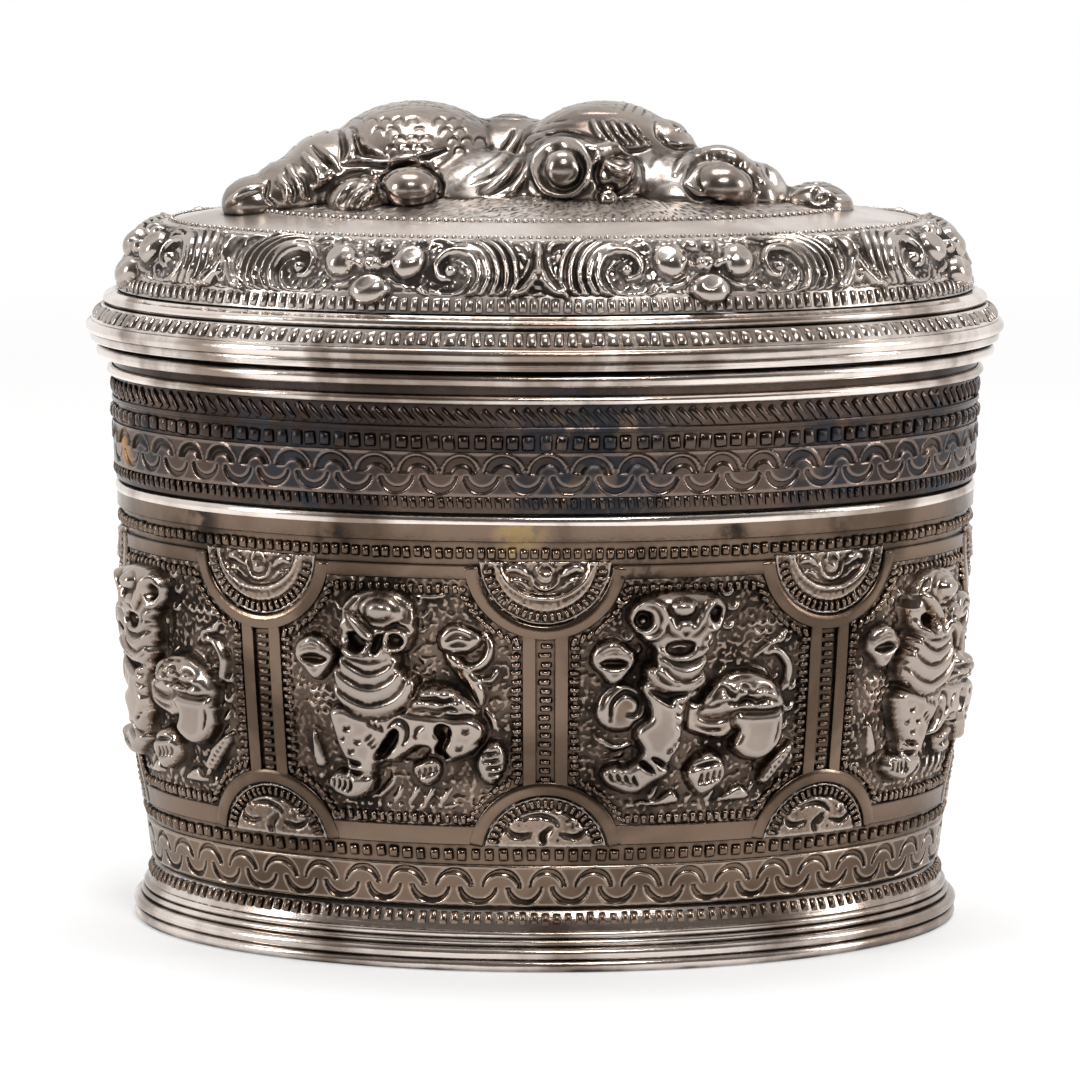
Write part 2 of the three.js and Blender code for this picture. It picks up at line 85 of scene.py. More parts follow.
def wire(tree, *wires):
    """Joins sockets: each wire is (node, its outlet, node, its inlet)."""
    for giver, outlet, taker, inlet in wires:
        tree.links.new(giver.outputs[outlet], taker.inputs[inlet])


deselect()
bpy.ops.object.camera_add(location=EYE, rotation=(math.radians(90 - EYE_PITCH), 0, 0))
camera = bpy.context.object
camera.data.lens = LENS_MM
camera.data.sensor_width = SENSOR_MM
camera.data.clip_start = NEAREST_SEEN
bpy.context.scene.camera = camera

# The table is paper that the camera and the silver see fade into white, and it keeps the box's shadow
deselect()
bpy.ops.mesh.primitive_plane_add(size=TABLE_SIDE, location=(0, 0, TABLE_LEVEL))
table = bpy.context.object
table.name = "white_table"
finish = bpy.data.materials.new("white_table_paper")
finish.use_nodes = True
tree = finish.node_tree
tree.nodes.clear()
paper = node_of(tree, "ShaderNodeBsdfDiffuse", {"Color": (0.93, 0.93, 0.93, 1)})
glow = node_of(tree, "ShaderNodeEmission", {"Color": WHITE, "Strength": 1})
place = node_of(tree, "ShaderNodeTexCoord")
reach = node_of(tree, "ShaderNodeVectorMath", operation="LENGTH")
fade = node_of(tree, "ShaderNodeMapRange",
               {"From Min": TABLE_CLEAR, "From Max": TABLE_FADE, "To Min": TABLE_GLOW},
               interpolation_type="SMOOTHSTEP")
rays = node_of(tree, "ShaderNodeLightPath")
seen = node_of(tree, "ShaderNodeMath", operation="ADD", use_clamp=True)
share = node_of(tree, "ShaderNodeMath", operation="MULTIPLY")
blend = node_of(tree, "ShaderNodeMixShader")
out = node_of(tree, "ShaderNodeOutputMaterial")
wire(tree, (place, "Object", reach, 0), (reach, "Value", fade, "Value"), (rays, "Is Camera Ray", seen, 0),
     (rays, "Is Glossy Ray", seen, 1), (seen, 0, share, 0), (fade, "Result", share, 1),
     (share, 0, blend, "Fac"), (paper, 0, blend, 1), (glow, 0, blend, 2), (blend, 0, out, "Surface"))
table.data.materials.append(finish)

# The room is dim behind the camera and pale behind the box. The camera sees it white all round, and
# the silver sees it white behind the box.
world = bpy.data.worlds.new("soft_room")
bpy.context.scene.world = world
world.use_nodes = True
tree = world.node_tree
tree.nodes.clear()
room = node_of(tree, "ShaderNodeBackground", {"Strength": 1})
white = node_of(tree, "ShaderNodeBackground", {"Color": WHITE})
towards = node_of(tree, "ShaderNodeTexCoord")
parts = node_of(tree, "ShaderNodeSeparateXYZ")
depth = node_of(tree, "ShaderNodeMapRange", {"From Min": -1, "From Max": 1})
tones = node_of(tree, "ShaderNodeValToRGB")
for stop, position, colour in zip(tones.color_ramp.elements, (ROOM_DIM_UP_TO, ROOM_PALE_FROM),
                                  (ROOM_DIM, ROOM_PALE)):
    stop.position = position
    stop.color = colour
behind = node_of(tree, "ShaderNodeMapRange", {"From Min": ROOM_DIM_UP_TO, "From Max": ROOM_PALE_FROM},
                 interpolation_type="SMOOTHSTEP")
rays = node_of(tree, "ShaderNodeLightPath")
mirrored = node_of(tree, "ShaderNodeMath", operation="MULTIPLY")
seen = node_of(tree, "ShaderNodeMath", operation="ADD", use_clamp=True)
blend = node_of(tree, "ShaderNodeMixShader")
out = node_of(tree, "ShaderNodeOutputWorld")
wire(tree, (towards, "Generated", parts, 0), (parts, "Y", depth, "Value"), (depth, "Result", tones, "Fac"),
     (tones, "Color", room, "Color"), (depth, "Result", behind, "Value"),
     (rays, "Is Glossy Ray", mirrored, 0), (behind, "Result", mirrored, 1),
     (rays, "Is Camera Ray", seen, 0), (mirrored, 0, seen, 1), (seen, 0, blend, "Fac"), (room, 0, blend, 1),
     (white, 0, blend, 2), (blend, 0, out, "Surface"))


def softbox(name, place, aim, wide, tall, watts):
    """A rectangular lamp that faces its aim."""
    deselect()
    bpy.ops.object.light_add(type="AREA", location=place)
    lamp = bpy.context.object
    lamp.name = name
    lamp.data.shape = "RECTANGLE"
    lamp.data.size = wide
    lamp.data.size_y = tall
    lamp.data.energy = watts
    lamp.rotation_euler = (Vector(aim) - Vector(place)).to_track_quat("-Z", "Y").to_euler()


softbox("softbox_over_camera", (0.1, -0.5, 0.62), (0, 0, 0.04), 0.2, 0.13, 2.7)
softbox("softbox_left", (-0.7, -0.3, 0.3), (0, 0, 0.04), 0.1, 0.4, 1.9)
softbox("softbox_right", (0.75, -0.2, 0.3), (0, 0, 0.04), 0.1, 0.4, 1.9)
softbox("softbox_top", (0, 0.1, 0.8), (0, 0, 0.05), 0.42, 0.24, 3.2)

bpy.context.scene.view_settings.view_transform = "Standard"


# The oval
# Every ring of the box is an oval. Its size is given by how far in it lies from the edge of the
# lip, and a piece that is made flat is bent round the oval afterwards.
LIP_LOW, LIP_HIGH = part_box("rim_lip")
HALF_WIDTH = LIP_HIGH[0]
HALF_DEPTH = LIP_HIGH[1]
DOME_INSET = 7.8 * MM
DOME_HALF_WIDTH = HALF_WIDTH - DOME_INSET
DOME_HALF_DEPTH = HALF_DEPTH - DOME_INSET
MIDDLE_INSET = 4.2 * MM
FINE_STEPS = 320
RING_SAMPLES = 7201
WELD = 1e-6
CREASE = math.radians(35)
LEAN_PER_METRE = 40


def half_depth(half_width):
    """Rings outside the dome keep an even width of rim, and rings on the dome keep its shape."""
    within = half_width * DOME_HALF_DEPTH / DOME_HALF_WIDTH
    return np.where(half_width < DOME_HALF_WIDTH, within, half_width - (HALF_WIDTH - HALF_DEPTH))


# Distances along the middle ring, from its front, against the turn of the oval
angles = np.linspace(-math.pi, math.pi, RING_SAMPLES) - math.pi / 2
ring_x = (HALF_WIDTH - MIDDLE_INSET) * np.cos(angles)
ring_y = (HALF_DEPTH - MIDDLE_INSET) * np.sin(angles)
walked = np.concatenate([[0], np.cumsum(np.hypot(np.diff(ring_x), np.diff(ring_y)))])
ROUND = walked[-1]
walked -= ROUND / 2


def on_oval(along, half_width):
    """Points at distances from the front along rings of these half widths, and the ways out there."""
    angle = np.interp((along + ROUND / 2) % ROUND - ROUND / 2, walked, angles)
    wide = np.asarray(half_width, dtype=float)
    deep = half_depth(wide)
    x, y = wide * np.cos(angle), deep * np.sin(angle)
    out_x, out_y = np.cos(angle) / wide, np.sin(angle) / deep
    size = np.hypot(out_x, out_y)
    return x, y, out_x / size, out_y / size


def along_of(corners, half_wide, half_deep):
    """How far round from the front the corners lie, on ovals of these half sizes."""
    turn = np.arctan2(corners[:, 1] / half_deep, corners[:, 0] / half_wide)
    turn = np.where(turn > math.pi / 2, turn - 2 * math.pi, turn)
    return np.interp(turn, angles, walked)


def corners_of(piece):
    """The piece's mesh points, one row each."""
    flat = np.empty(len(piece.data.vertices) * 3)
    piece.data.vertices.foreach_get("co", flat)
    return flat.reshape(-1, 3)


def set_corners(piece, corners):
    """Moves the piece's mesh points to these rows."""
    piece.data.vertices.foreach_set("co", np.ascontiguousarray(corners, dtype=float).ravel())
    piece.data.update()


def only(piece):
    """Selects this piece alone and makes it the active one."""
    deselect()
    piece.select_set(True)
    bpy.context.view_layer.objects.active = piece


def as_one(pieces):
    """Joins the pieces into the first of them."""
    deselect()
    for piece in pieces:
        piece.select_set(True)
    bpy.context.view_layer.objects.active = pieces[0]
    bpy.ops.object.join()
    return pieces[0]


def worked_over(piece, kind, **settings):
    """Adds a modifier to the active piece and applies it."""
    modifier = piece.modifiers.new(kind.lower(), kind)
    for key, value in settings.items():
        setattr(modifier, key, value)
    bpy.ops.object.modifier_apply(modifier=modifier.name)


def wander(turn, seed, waves=7):
    """A slow unevenness round the oval, between about -1 and 1."""
    dice = np.random.default_rng(seed)
    starts = dice.uniform(0, 2 * math.pi, waves)
    return sum(np.sin((k + 2) * turn + starts[k]) / math.sqrt(k + 1) for k in range(waves)) / 2.5


def turned(name, profile, steps=FINE_STEPS, uneven=0.0):
    """A closed profile of (inset, height) points in metres, spun round and pressed to the oval."""
    deselect()
    bpy.ops.mesh.primitive_circle_add(vertices=len(profile), radius=1)
    piece = bpy.context.object
    piece.name = name
    set_corners(piece, [(HALF_WIDTH - inset, 0, height) for inset, height in profile])
    bpy.ops.object.mode_set(mode="EDIT")
    bpy.ops.mesh.select_all(action="SELECT")
    bpy.ops.mesh.spin(steps=steps, angle=2 * math.pi, center=(0, 0, 0), axis=(0, 0, 1))
    bpy.ops.mesh.select_all(action="SELECT")
    bpy.ops.mesh.remove_doubles(threshold=WELD)
    bpy.ops.mesh.normals_make_consistent(inside=False)
    bpy.ops.object.mode_set(mode="OBJECT")
    corners = corners_of(piece)
    radius = np.hypot(corners[:, 0], corners[:, 1])
    turn = np.arctan2(corners[:, 1], corners[:, 0])
    seed = sum(ord(letter) for letter in name)
    outward = uneven * wander(turn + corners[:, 2] * LEAN_PER_METRE, seed)
    wide = radius + np.where(radius > DOME_HALF_WIDTH, outward, 0)
    corners[:, 0] = wide * np.cos(turn)
    corners[:, 1] = half_depth(wide) * np.sin(turn)
    off_table = (radius > DOME_HALF_WIDTH) & (corners[:, 2] > uneven)
    corners[:, 2] += np.where(off_table, outward * 0.5, 0)
    set_corners(piece, corners)
    bpy.ops.object.shade_smooth_by_angle(angle=CREASE)
    return piece


def bulge(low, high, inset, proud, steps=6):
    """Profile points of a half-round band between two heights."""
    middle, half = (low + high) / 2, (high - low) / 2
    turns = [math.pi * (i / steps - 0.5) for i in range(steps + 1)]
    return [(inset - proud * math.cos(a), middle + half * math.sin(a)) for a in turns]


def smooth_line(points, per_span=6, closed=False):
    """A smooth curve through the points."""
    rows = [np.array(p, dtype=float) for p in points]
    if closed:
        rows = [rows[-1]] + rows + rows[:2]
    else:
        rows = [2 * rows[0] - rows[1]] + rows + [2 * rows[-1] - rows[-2]]
    made = []
    for a, b, c, d in zip(rows, rows[1:], rows[2:], rows[3:]):
        for i in range(per_span):
            t = i / per_span
            made.append(0.5 * ((2 * b) + (c - a) * t + (2 * a - 5 * b + 4 * c - d) * t ** 2
                               + (3 * b - a - 3 * c + d) * t ** 3))
    if not closed:
        made.append(rows[-2])
    return np.array(made)


# Silver
# The metal is one alloy in three finishes: chased work with black in its hollows, smooth mouldings
# rubbed bright, and plain sheet. Tarnish lies on it in soft clouds.
BLACK = (0.016, 0.012, 0.010, 1)
AO_RAYS = 5
AO_REACH = 0.8 * MM
GRAIN_DEPTH = 0.05 * MM


def silver(name, clean, tarnish, rub=(0.48, 0.42, 0.375), black=0.95, rough=(0.22, 0.4), grain=0.5,
           stains=(), streaks=0.0):
    """Silver from clean to tarnished, rubbed on its plains and black in its hollows.

    Each stain is (centre, reach, colour). Streaks are drawn marks that run round the piece.
    """
    made = bpy.data.materials.new(name)
    made.use_nodes = True
    tree = made.node_tree
    link = tree.links.new
    shader = tree.nodes["Principled BSDF"]
    shader.inputs["Metallic"].default_value = 1
    place = node_of(tree, "ShaderNodeTexCoord").outputs["Object"]

    def noise(scale, detail, distortion=0.0, stretch=None):
        cloud = node_of(tree, "ShaderNodeTexNoise",
                        {"Scale": scale, "Detail": detail, "Distortion": distortion})
        source = place
        if stretch:
            mapping = node_of(tree, "ShaderNodeMapping", {"Scale": stretch})
            link(place, mapping.inputs["Vector"])
            source = mapping.outputs["Vector"]
        link(source, cloud.inputs["Vector"])
        return cloud.outputs["Fac"]

    def ranged(value, low, high, to_low=0.0, to_high=1.0, kind="SMOOTHSTEP"):
        scaled = node_of(tree, "ShaderNodeMapRange",
                         {"From Min": low, "From Max": high, "To Min": to_low, "To Max": to_high},
                         interpolation_type=kind)
        link(value, scaled.inputs["Value"])
        return scaled.outputs["Result"]

    def mixed(factor, base, colour):
        mix = node_of(tree, "ShaderNodeMix", data_type="RGBA")
        link(factor, mix.inputs["Factor"])
        if isinstance(base, tuple):
            mix.inputs["A"].default_value = base
        else:
            link(base, mix.inputs["A"])
        mix.inputs["B"].default_value = colour
        return mix.outputs["Result"]

    def joined(operation, first, second):
        both = node_of(tree, "ShaderNodeMath", operation=operation, use_clamp=True)
        link(first, both.inputs[0])
        link(second, both.inputs[1])
        return both.outputs[0]

    def bumped(strength, height):
        bump = node_of(tree, "ShaderNodeBump", {"Strength": strength, "Distance": GRAIN_DEPTH})
        link(height, bump.inputs["Height"])
        return bump

    clouds = noise(70, 6, 0.7)
    skin = mixed(ranged(clouds, 0.4, 0.64), (*clean, 1), (*tarnish, 1))
    sheen = ranged(clouds, 0.3, 0.7, *rough, kind="LINEAR")
    for centre, wide, colour in stains:
        away = node_of(tree, "ShaderNodeVectorMath", {1: centre}, operation="DISTANCE")
        link(place, away.inputs[0])
        ragged = joined("MULTIPLY", ranged(away.outputs["Value"], wide, wide * 0.3),
                        ranged(noise(420, 5), 0.36, 0.56))
        skin = mixed(ragged, skin, (*colour, 1))
        sheen = joined("MAXIMUM", sheen, ranged(ragged, 0, 1, 0, 0.42, "LINEAR"))

    # Black stays in deep corners and in what the chasing has pressed in, and rubbing brightens the plains
    hollow = node_of(tree, "ShaderNodeAttribute", attribute_name="hollow").outputs["Fac"]
    shade = node_of(tree, "ShaderNodeAmbientOcclusion", {"Distance": AO_REACH}, samples=AO_RAYS)
    closed_in = ranged(shade.outputs["AO"], 0.9, 0.42)
    pressed = ranged(hollow, 0.08, 0.62)
    smudged = ranged(noise(260, 4), 0.3, 0.75, 0.55, 1.15)
    dark = joined("MULTIPLY", joined("ADD", closed_in, pressed), smudged)
    skin = mixed(ranged(hollow, -0.2, -1.1, 0, 0.6), skin, (*rub, 1))
    skin = mixed(ranged(dark, 0, 1, 0, black, "LINEAR"), skin, BLACK)
    link(skin, shader.inputs["Base Color"])
    dulled = joined("MAXIMUM", sheen, ranged(dark, 0.2, 1, 0, 0.6, "LINEAR"))
    link(dulled, shader.inputs["Roughness"])

    bump = bumped(grain, noise(1100, 3))
    if streaks:
        drawn = bumped(streaks, noise(60, 5, 0.3, (1, 1, 55)))
        link(bump.outputs["Normal"], drawn.inputs["Normal"])
        bump = drawn
    link(bump.outputs["Normal"], shader.inputs["Normal"])
    return made


def spots(colour, rows):
    """Stains of one colour, from rows of (x, y, z, reach) in mm."""
    return [((x * MM, y * MM, z * MM), reach * MM, colour) for x, y, z, reach in rows]


chased = silver("chased_silver", (0.27, 0.2, 0.156), (0.12, 0.084, 0.063), rough=(0.16, 0.3))
# A lighter silver for the lid's top parts: partly a greyer tone, partly painted light on the lid's top
lid_tone_and_painted_light = silver("lid_silver_tone_and_painted_light", (0.46, 0.4, 0.36), (0.26, 0.215, 0.185), rough=(0.15, 0.3))
bright = silver("bright_silver", (0.82, 0.735, 0.675), (0.27, 0.21, 0.172), black=0.9, rough=(0.11, 0.26),
                grain=0.3, streaks=0.7)
plain = silver("plain_silver", (0.34, 0.3, 0.265), (0.22, 0.185, 0.16), black=0.4, grain=0.25)


def aged(piece, rounds=10, hollow_depth=0.045, sunk=None):
    """Marks how hollow each point of a chased piece lies, which is where the black stays."""
    mesh = piece.data
    count = len(mesh.vertices)
    ends = np.empty(len(mesh.edges) * 2, dtype=np.int32)
    mesh.edges.foreach_get("vertices", ends)
    first, second = ends[::2], ends[1::2]
    neighbours = np.maximum(np.bincount(ends, minlength=count), 1)
    corners = corners_of(piece)
    eased = corners.copy()
    for _ in range(rounds):
        for axis in range(3):
            value = eased[:, axis]
            total = np.bincount(first, value[second], count) + np.bincount(second, value[first], count)
            eased[:, axis] = 0.5 * value + 0.5 * total / neighbours
    ways = np.empty(count * 3)
    mesh.vertex_normals.foreach_get("vector", ways)
    hollow = ((eased - corners) * ways.reshape(-1, 3)).sum(axis=1) / (hollow_depth * MM)
    if sunk is not None:
        hollow[:len(sunk)] += sunk
    layer = mesh.attributes.new("hollow", "FLOAT", "POINT")
    layer.data.foreach_set("value", hollow.astype(np.float32))
    return piece


def done(piece, material, body, node):
    """Gives a finished piece its metal, and its place in the CAD."""
    piece.data.materials.clear()
    piece.data.materials.append(material)
    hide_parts(node)
    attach(piece, body)


# Foot ring
# A strip of silver drawn into reeds with a cove above them, bent into an oval and soldered under
# the wall. Its cove is struck with a row of small pegs.
FOOT_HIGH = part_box("foot_ring")[1]
FOOT_INSET = HALF_WIDTH - FOOT_HIGH[0]
FOOT_WALL = 1.3 * MM
COVE_INSET = 6.7 * MM
FOOT_REEDS = [(0, 1.15, 0.1, 0.5), (1.2, 2.3, 0.0, 0.45), (2.35, 3.0, 0.75, 0.3), (3.05, 3.75, 1.0, 0.3)]

profile = []
for low, high, inset, proud in FOOT_REEDS:
    profile += bulge(low * MM, high * MM, FOOT_INSET + (inset + proud) * MM, proud * MM)
foot_cove = smooth_line([(5.5 * MM, 3.8 * MM), (5.75 * MM, 4.6 * MM), (6.15 * MM, 5.4 * MM),
                         (COVE_INSET, FOOT_HIGH[2])], 4)
profile += [tuple(point) for point in foot_cove]
profile += [(COVE_INSET + FOOT_WALL, FOOT_HIGH[2]), (FOOT_INSET + 0.5 * MM + FOOT_WALL, 0)]
foot = turned("foot_reeds", profile, uneven=0.11 * MM)
done(foot, bright, "body", "foot_ring")


# Base plate and neck sleeve
# Plain sheet, planished smooth: the plate closes the bottom inside the foot, and the sleeve is
# soldered inside the wall for the lid to slide over.
NECK_SHEET = 0.8 * MM
SOFT_EDGE = 0.2 * MM
for node in ("base_plate", "neck_collar"):
    low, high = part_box(node)
    edge = HALF_WIDTH - high[0]
    if node == "base_plate":
        outline = [(HALF_WIDTH, low[2]), (edge + SOFT_EDGE, low[2]), (edge, low[2] + SOFT_EDGE),
                   (edge, high[2]), (HALF_WIDTH, high[2])]
    else:
        outline = [(edge, low[2]), (edge, high[2] - SOFT_EDGE), (edge + NECK_SHEET / 2, high[2]),
                   (edge + NECK_SHEET, high[2] - SOFT_EDGE), (edge + NECK_SHEET, low[2])]
    done(turned(node + "_sheet", outline), plain, "body", node)


# Wall
# Raised from one sheet and chased from the front: a wavy band between two rows of pegs, and a plain
# frame round eight panels, with half medallions where the frame's bars meet the bands.
WALL_LOW, WALL_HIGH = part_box("body_wall")
WALL_FOOT, WALL_TOP = WALL_LOW[2], WALL_HIGH[2]
WALL_WAIST_INSET = 6.1 * MM
WALL_TOP_INSET = 3.15 * MM
WALL_BULGE = 0.45 * MM
WALL_SHEET = 0.9 * MM
FRAME_PROUD = 0.47
BAND_PROUD = 0.44
PANELS = 8
PITCH = ROUND / MM / PANELS
WALL_BANDS = [(12.0, 13.95), (37.55, 38.95), (41.1, 42.95)]
WAVES = 48
MEDALLION_LOW, MEDALLION_HIGH = 10.8, 39.4
TRUE_ROUND_RINGS = 6.9
WAVE_LOW, WAVE_HIGH = 5.95, 10.1
WALL_STEPS, BAND_STEPS = 1200, 1800
EVEN_BACK_STEPS = 8
PUNCH_BACK = 0.3
PUNCH_CREASE = math.radians(50)
ochre = (0.36, 0.25, 0.12)
brown_black = (0.035, 0.026, 0.021)
wall_stains = spots(ochre, [(-2.4, -31.5, 41.8, 3.4)]) + spots(brown_black, [(17.5, -28.0, 41.6, 2.2),
                    (28.5, -22.7, 42.4, 2.6), (-33.0, -18.9, 41.5, 4.2), (-20.0, -27.0, 41.0, 3.0),
                    (9.0, -30.0, 38.4, 3.2), (-12.5, -28.6, 10.2, 3.0), (16.0, 27.5, 41.0, 4.0),
                    (-25.0, 24.0, 38.0, 5.0)])
chased_wall = silver("chased_wall_silver", (0.185, 0.13, 0.095), (0.09, 0.061, 0.043),
                     rub=(0.42, 0.34, 0.28), rough=(0.16, 0.3), stains=wall_stains)


def wall_inset(height):
    """How far in the wall's face lies: it flares from its foot to its top, and swells a little."""
    share = (height - WALL_FOOT) / (WALL_TOP - WALL_FOOT)
    flare = WALL_WAIST_INSET + (WALL_TOP_INSET - WALL_WAIST_INSET) * share
    return flare - WALL_BULGE * np.sin(math.pi * share)


def bent(piece, inset_at=wall_inset, lift=0.0):
    """Bends a flat piece round the box: x is the way along, z the height, and -y stands out."""
    corners = corners_of(piece)
    x, y, out_x, out_y = on_oval(corners[:, 0], HALF_WIDTH - inset_at(corners[:, 2]))
    proud = lift - corners[:, 1]
    set_corners(piece, np.column_stack([x + out_x * proud, y + out_y * proud, corners[:, 2]]))
    return piece


def laid(piece, line):
    """Lays a flat piece along a profile line of (inset, height) points: its z is the way up that line."""
    line = np.array(line)
    steps = np.diff(line, axis=0)
    lengths = np.hypot(steps[:, 0], steps[:, 1])
    way = np.concatenate([[0], np.cumsum(lengths)])
    slopes = np.arctan2(steps[:, 0], steps[:, 1])
    middles = (way[1:] + way[:-1]) / 2
    corners = corners_of(piece)
    up, proud = corners[:, 2], -corners[:, 1]
    slope = np.interp(up, middles, slopes)
    inset = np.interp(up, way, line[:, 0]) - proud * np.cos(slope)
    height = np.interp(up, way, line[:, 1]) + proud * np.sin(slope)
    x, y, _, _ = on_oval(corners[:, 0], HALF_WIDTH - inset)
    set_corners(piece, np.column_stack([x, y, height]))
    return piece


def struck(name, punch, places):
    """Copies of the punch's mesh in one piece, each at (along, height, turn, wide, tall, proud) in mm."""
    count = len(punch.data.vertices)
    shape = corners_of(punch)
    faces = [tuple(face.vertices) for face in punch.data.polygons]
    corners, polygons = [], []
    for i, (along, height, turn, wide, tall, proud) in enumerate(places):
        x, z = shape[:, 0] * wide, shape[:, 2] * tall
        corner = np.empty_like(shape)
        corner[:, 0] = along + x * math.cos(turn) - z * math.sin(turn)
        corner[:, 2] = height + x * math.sin(turn) + z * math.cos(turn)
        corner[:, 1] = shape[:, 1] * proud
        corners.append(corner * MM)
        polygons += [tuple(v + i * count for v in face) for face in faces]
    mesh = bpy.data.meshes.new(name)
    mesh.from_pydata(np.vstack(corners).tolist(), [], polygons)
    piece = bpy.data.objects.new(name, mesh)
    bpy.context.collection.objects.link(piece)
    only(piece)
    bpy.ops.object.shade_smooth_by_angle(angle=PUNCH_CREASE)
    return piece


def punch_of(name, segments, rings, squareness):
    """The front half of a ball, squared off for a peg, which is struck over and over."""
    deselect()
    bpy.ops.mesh.primitive_uv_sphere_add(segments=segments, ring_count=rings, radius=1,
                                         rotation=(math.pi / 2, 0, 0))
    punch = bpy.context.object
    punch.name = name
    bpy.ops.object.transform_apply(location=True, rotation=True, scale=True)
    bpy.ops.object.mode_set(mode="EDIT")
    bpy.ops.mesh.select_all(action="SELECT")
    bpy.ops.mesh.bisect(plane_co=(0, PUNCH_BACK, 0), plane_no=(0, 1, 0), clear_outer=True, use_fill=True)
    bpy.ops.object.mode_set(mode="OBJECT")
    corners = corners_of(punch)
    round_size = np.hypot(corners[:, 0], corners[:, 2])
    square_size = np.maximum(np.abs(corners[:, 0]), np.abs(corners[:, 2]))
    stretch = np.where(square_size > 1e-6, round_size / np.maximum(square_size, 1e-6), 1)
    corners[:, 0] *= 1 + (stretch - 1) * squareness
    corners[:, 2] *= 1 + (stretch - 1) * squareness
    set_corners(punch, corners)
    return punch


bead_punch = punch_of("bead_punch", 8, 6, 0.0)
peg_punch = punch_of("peg_punch", 8, 5, 0.75)
dice = np.random.default_rng(7)


def by_hand(along, height, turn, wide, tall, proud, slip=0.05):
    """One stroke of the hammer, never quite like the last."""
    return (along + dice.normal(0, slip), height + dice.normal(0, slip * 0.6), turn + dice.normal(0, 0.05),
            wide * dice.uniform(0.9, 1.08), tall * dice.uniform(0.9, 1.08), proud * dice.uniform(0.85, 1.1))


def row(height, pitch, wide, tall, proud, turn=0.0):
    """A row of blows right round the box, as near this pitch as it divides evenly."""
    count = round(ROUND / MM / pitch)
    step = ROUND / MM / count
    return [by_hand(i * step, height, turn, wide, tall, proud) for i in range(count)]


def ledge(low, high, inset_at, proud):
    """Profile points of a plain raised band with soft edges, from sizes in mm."""
    soft = 0.14
    points = [(low, 0), (low + soft * 0.3, proud * 0.8), (low + soft, proud)]
    points += [(low + (high - low) * i / 4,
               proud * (1 - 0.08 * math.sin(math.pi * i / 4))) for i in (1, 2, 3)]
    points += [(high - soft, proud), (high - soft * 0.3, proud * 0.8), (high, 0)]
    return [(float(inset_at(level * MM)) - rise * MM, level * MM) for level, rise in points]


profile = []
last = WALL_FOOT / MM
for low, high in WALL_BANDS:
    for i in range(5 if profile else 2):
        level = (last + (low - last) * (i + 0.5) / 5) * MM
        profile.append((float(wall_inset(level)), level))
    profile += ledge(low, high, wall_inset, BAND_PROUD)
    last = high
profile.append((float(wall_inset(WALL_TOP)), WALL_TOP))
for i in range(EVEN_BACK_STEPS + 1):
    level = WALL_TOP + (WALL_FOOT - WALL_TOP) * i / EVEN_BACK_STEPS
    profile.append((float(wall_inset(level)) + WALL_SHEET, level))
wall = turned("wall_sheet", profile, WALL_STEPS, uneven=0.05 * MM)
# Under the rings the sheet lies true, so that nothing of it shows through them
corners = corners_of(wall)
wide = HALF_WIDTH - wall_inset(corners[:, 2])
along = along_of(corners, wide, half_depth(wide))
aside = (along / MM + PITCH / 2) % PITCH - PITCH / 2
level = corners[:, 2] / MM
away = np.minimum(np.hypot(aside, level - MEDALLION_LOW), np.hypot(aside, level - MEDALLION_HIGH))
within = (away < TRUE_ROUND_RINGS) & (level > MEDALLION_LOW) & (level < MEDALLION_HIGH)
x, y, _, _ = on_oval(along, wide)
within &= np.hypot(corners[:, 0], corners[:, 1]) > np.hypot(x, y)
corners[within, 0] = x[within]
corners[within, 1] = y[within]
set_corners(wall, corners)
done(wall, chased_wall, "body", "body_wall")


def chased_band(name, low, high, rows, steps, inset_at, pattern, depth=0.35):
    """A ring whose outside is chased: the pattern gives its rise in mm at places along and up."""
    levels = [low + (high - low) * i / (rows - 1) for i in range(rows)]
    outline = [(float(inset_at(level * MM)), level * MM) for level in levels]
    outline += [(float(inset_at(level * MM)) + depth * MM, level * MM) for level in (high, low)]
    piece = turned(name, outline, steps)
    corners = corners_of(piece)
    inset = np.interp(corners[:, 2], [low * MM, high * MM], [outline[0][0], outline[rows - 1][0]])
    wide, deep = HALF_WIDTH - inset, HALF_DEPTH - inset
    along = along_of(corners, wide, deep) / MM
    outward = np.hypot(corners[:, 0] / wide, corners[:, 1] / deep) > 1 - 0.15 * MM / HALF_WIDTH
    rise = pattern(along, corners[:, 2] / MM) * MM * outward
    _, _, out_x, out_y = on_oval(along * MM, wide)
    corners[:, 0] += out_x * rise
    corners[:, 1] += out_y * rise
    set_corners(piece, corners)
    only(piece)
    bpy.ops.object.shade_smooth()
    return aged(piece)


def crescents(along, height, pitch, shift, apex, radius, thick, upward, lean=0.0):
    """How deep a row of crescent cuts is, from 0 to 1. They arch up or down and are thicker to one side."""
    middle = apex - radius if upward else apex + radius
    aside = (along - shift + pitch / 2) % pitch - pitch / 2
    away = np.hypot(aside, height - middle)
    side = (height - middle) if upward else (middle - height)
    width = thick * np.sqrt(np.clip(1 - (aside / (radius * 0.99)) ** 2, 0, 1)) + 1e-6
    width = width * (1 + lean * np.clip(aside / radius, -1, 1))
    line = radius - thick * 0.8
    return np.clip(1.7 - 1.7 * np.abs(away - line) / width, 0, 1) * (side > radius * 0.14)


def wavy_pattern(along, height):
    """A wave left plain between crescents cut from above and from below, drawn by hand."""
    pitch = ROUND / MM / WAVES
    swing = 0.12 * np.sin(along * 0.31) + 0.08 * np.sin(along * 0.83 + 1)
    upper = crescents(along + swing, height, pitch, 0.2, 9.8 + swing * 0.4, 2.1, 0.34, True, 0.5)
    lower = crescents(along + swing, height, pitch, 0.2 + pitch / 2, 6.15 + swing * 0.3, 2.1, 0.36, False,
                      -0.4)
    edge = np.clip((height - WAVE_LOW) / 0.2, 0, 1) * np.clip((WAVE_HIGH - height) / 0.15, 0, 1)
    return 0.26 * edge - 0.3 * np.maximum(upper, lower)


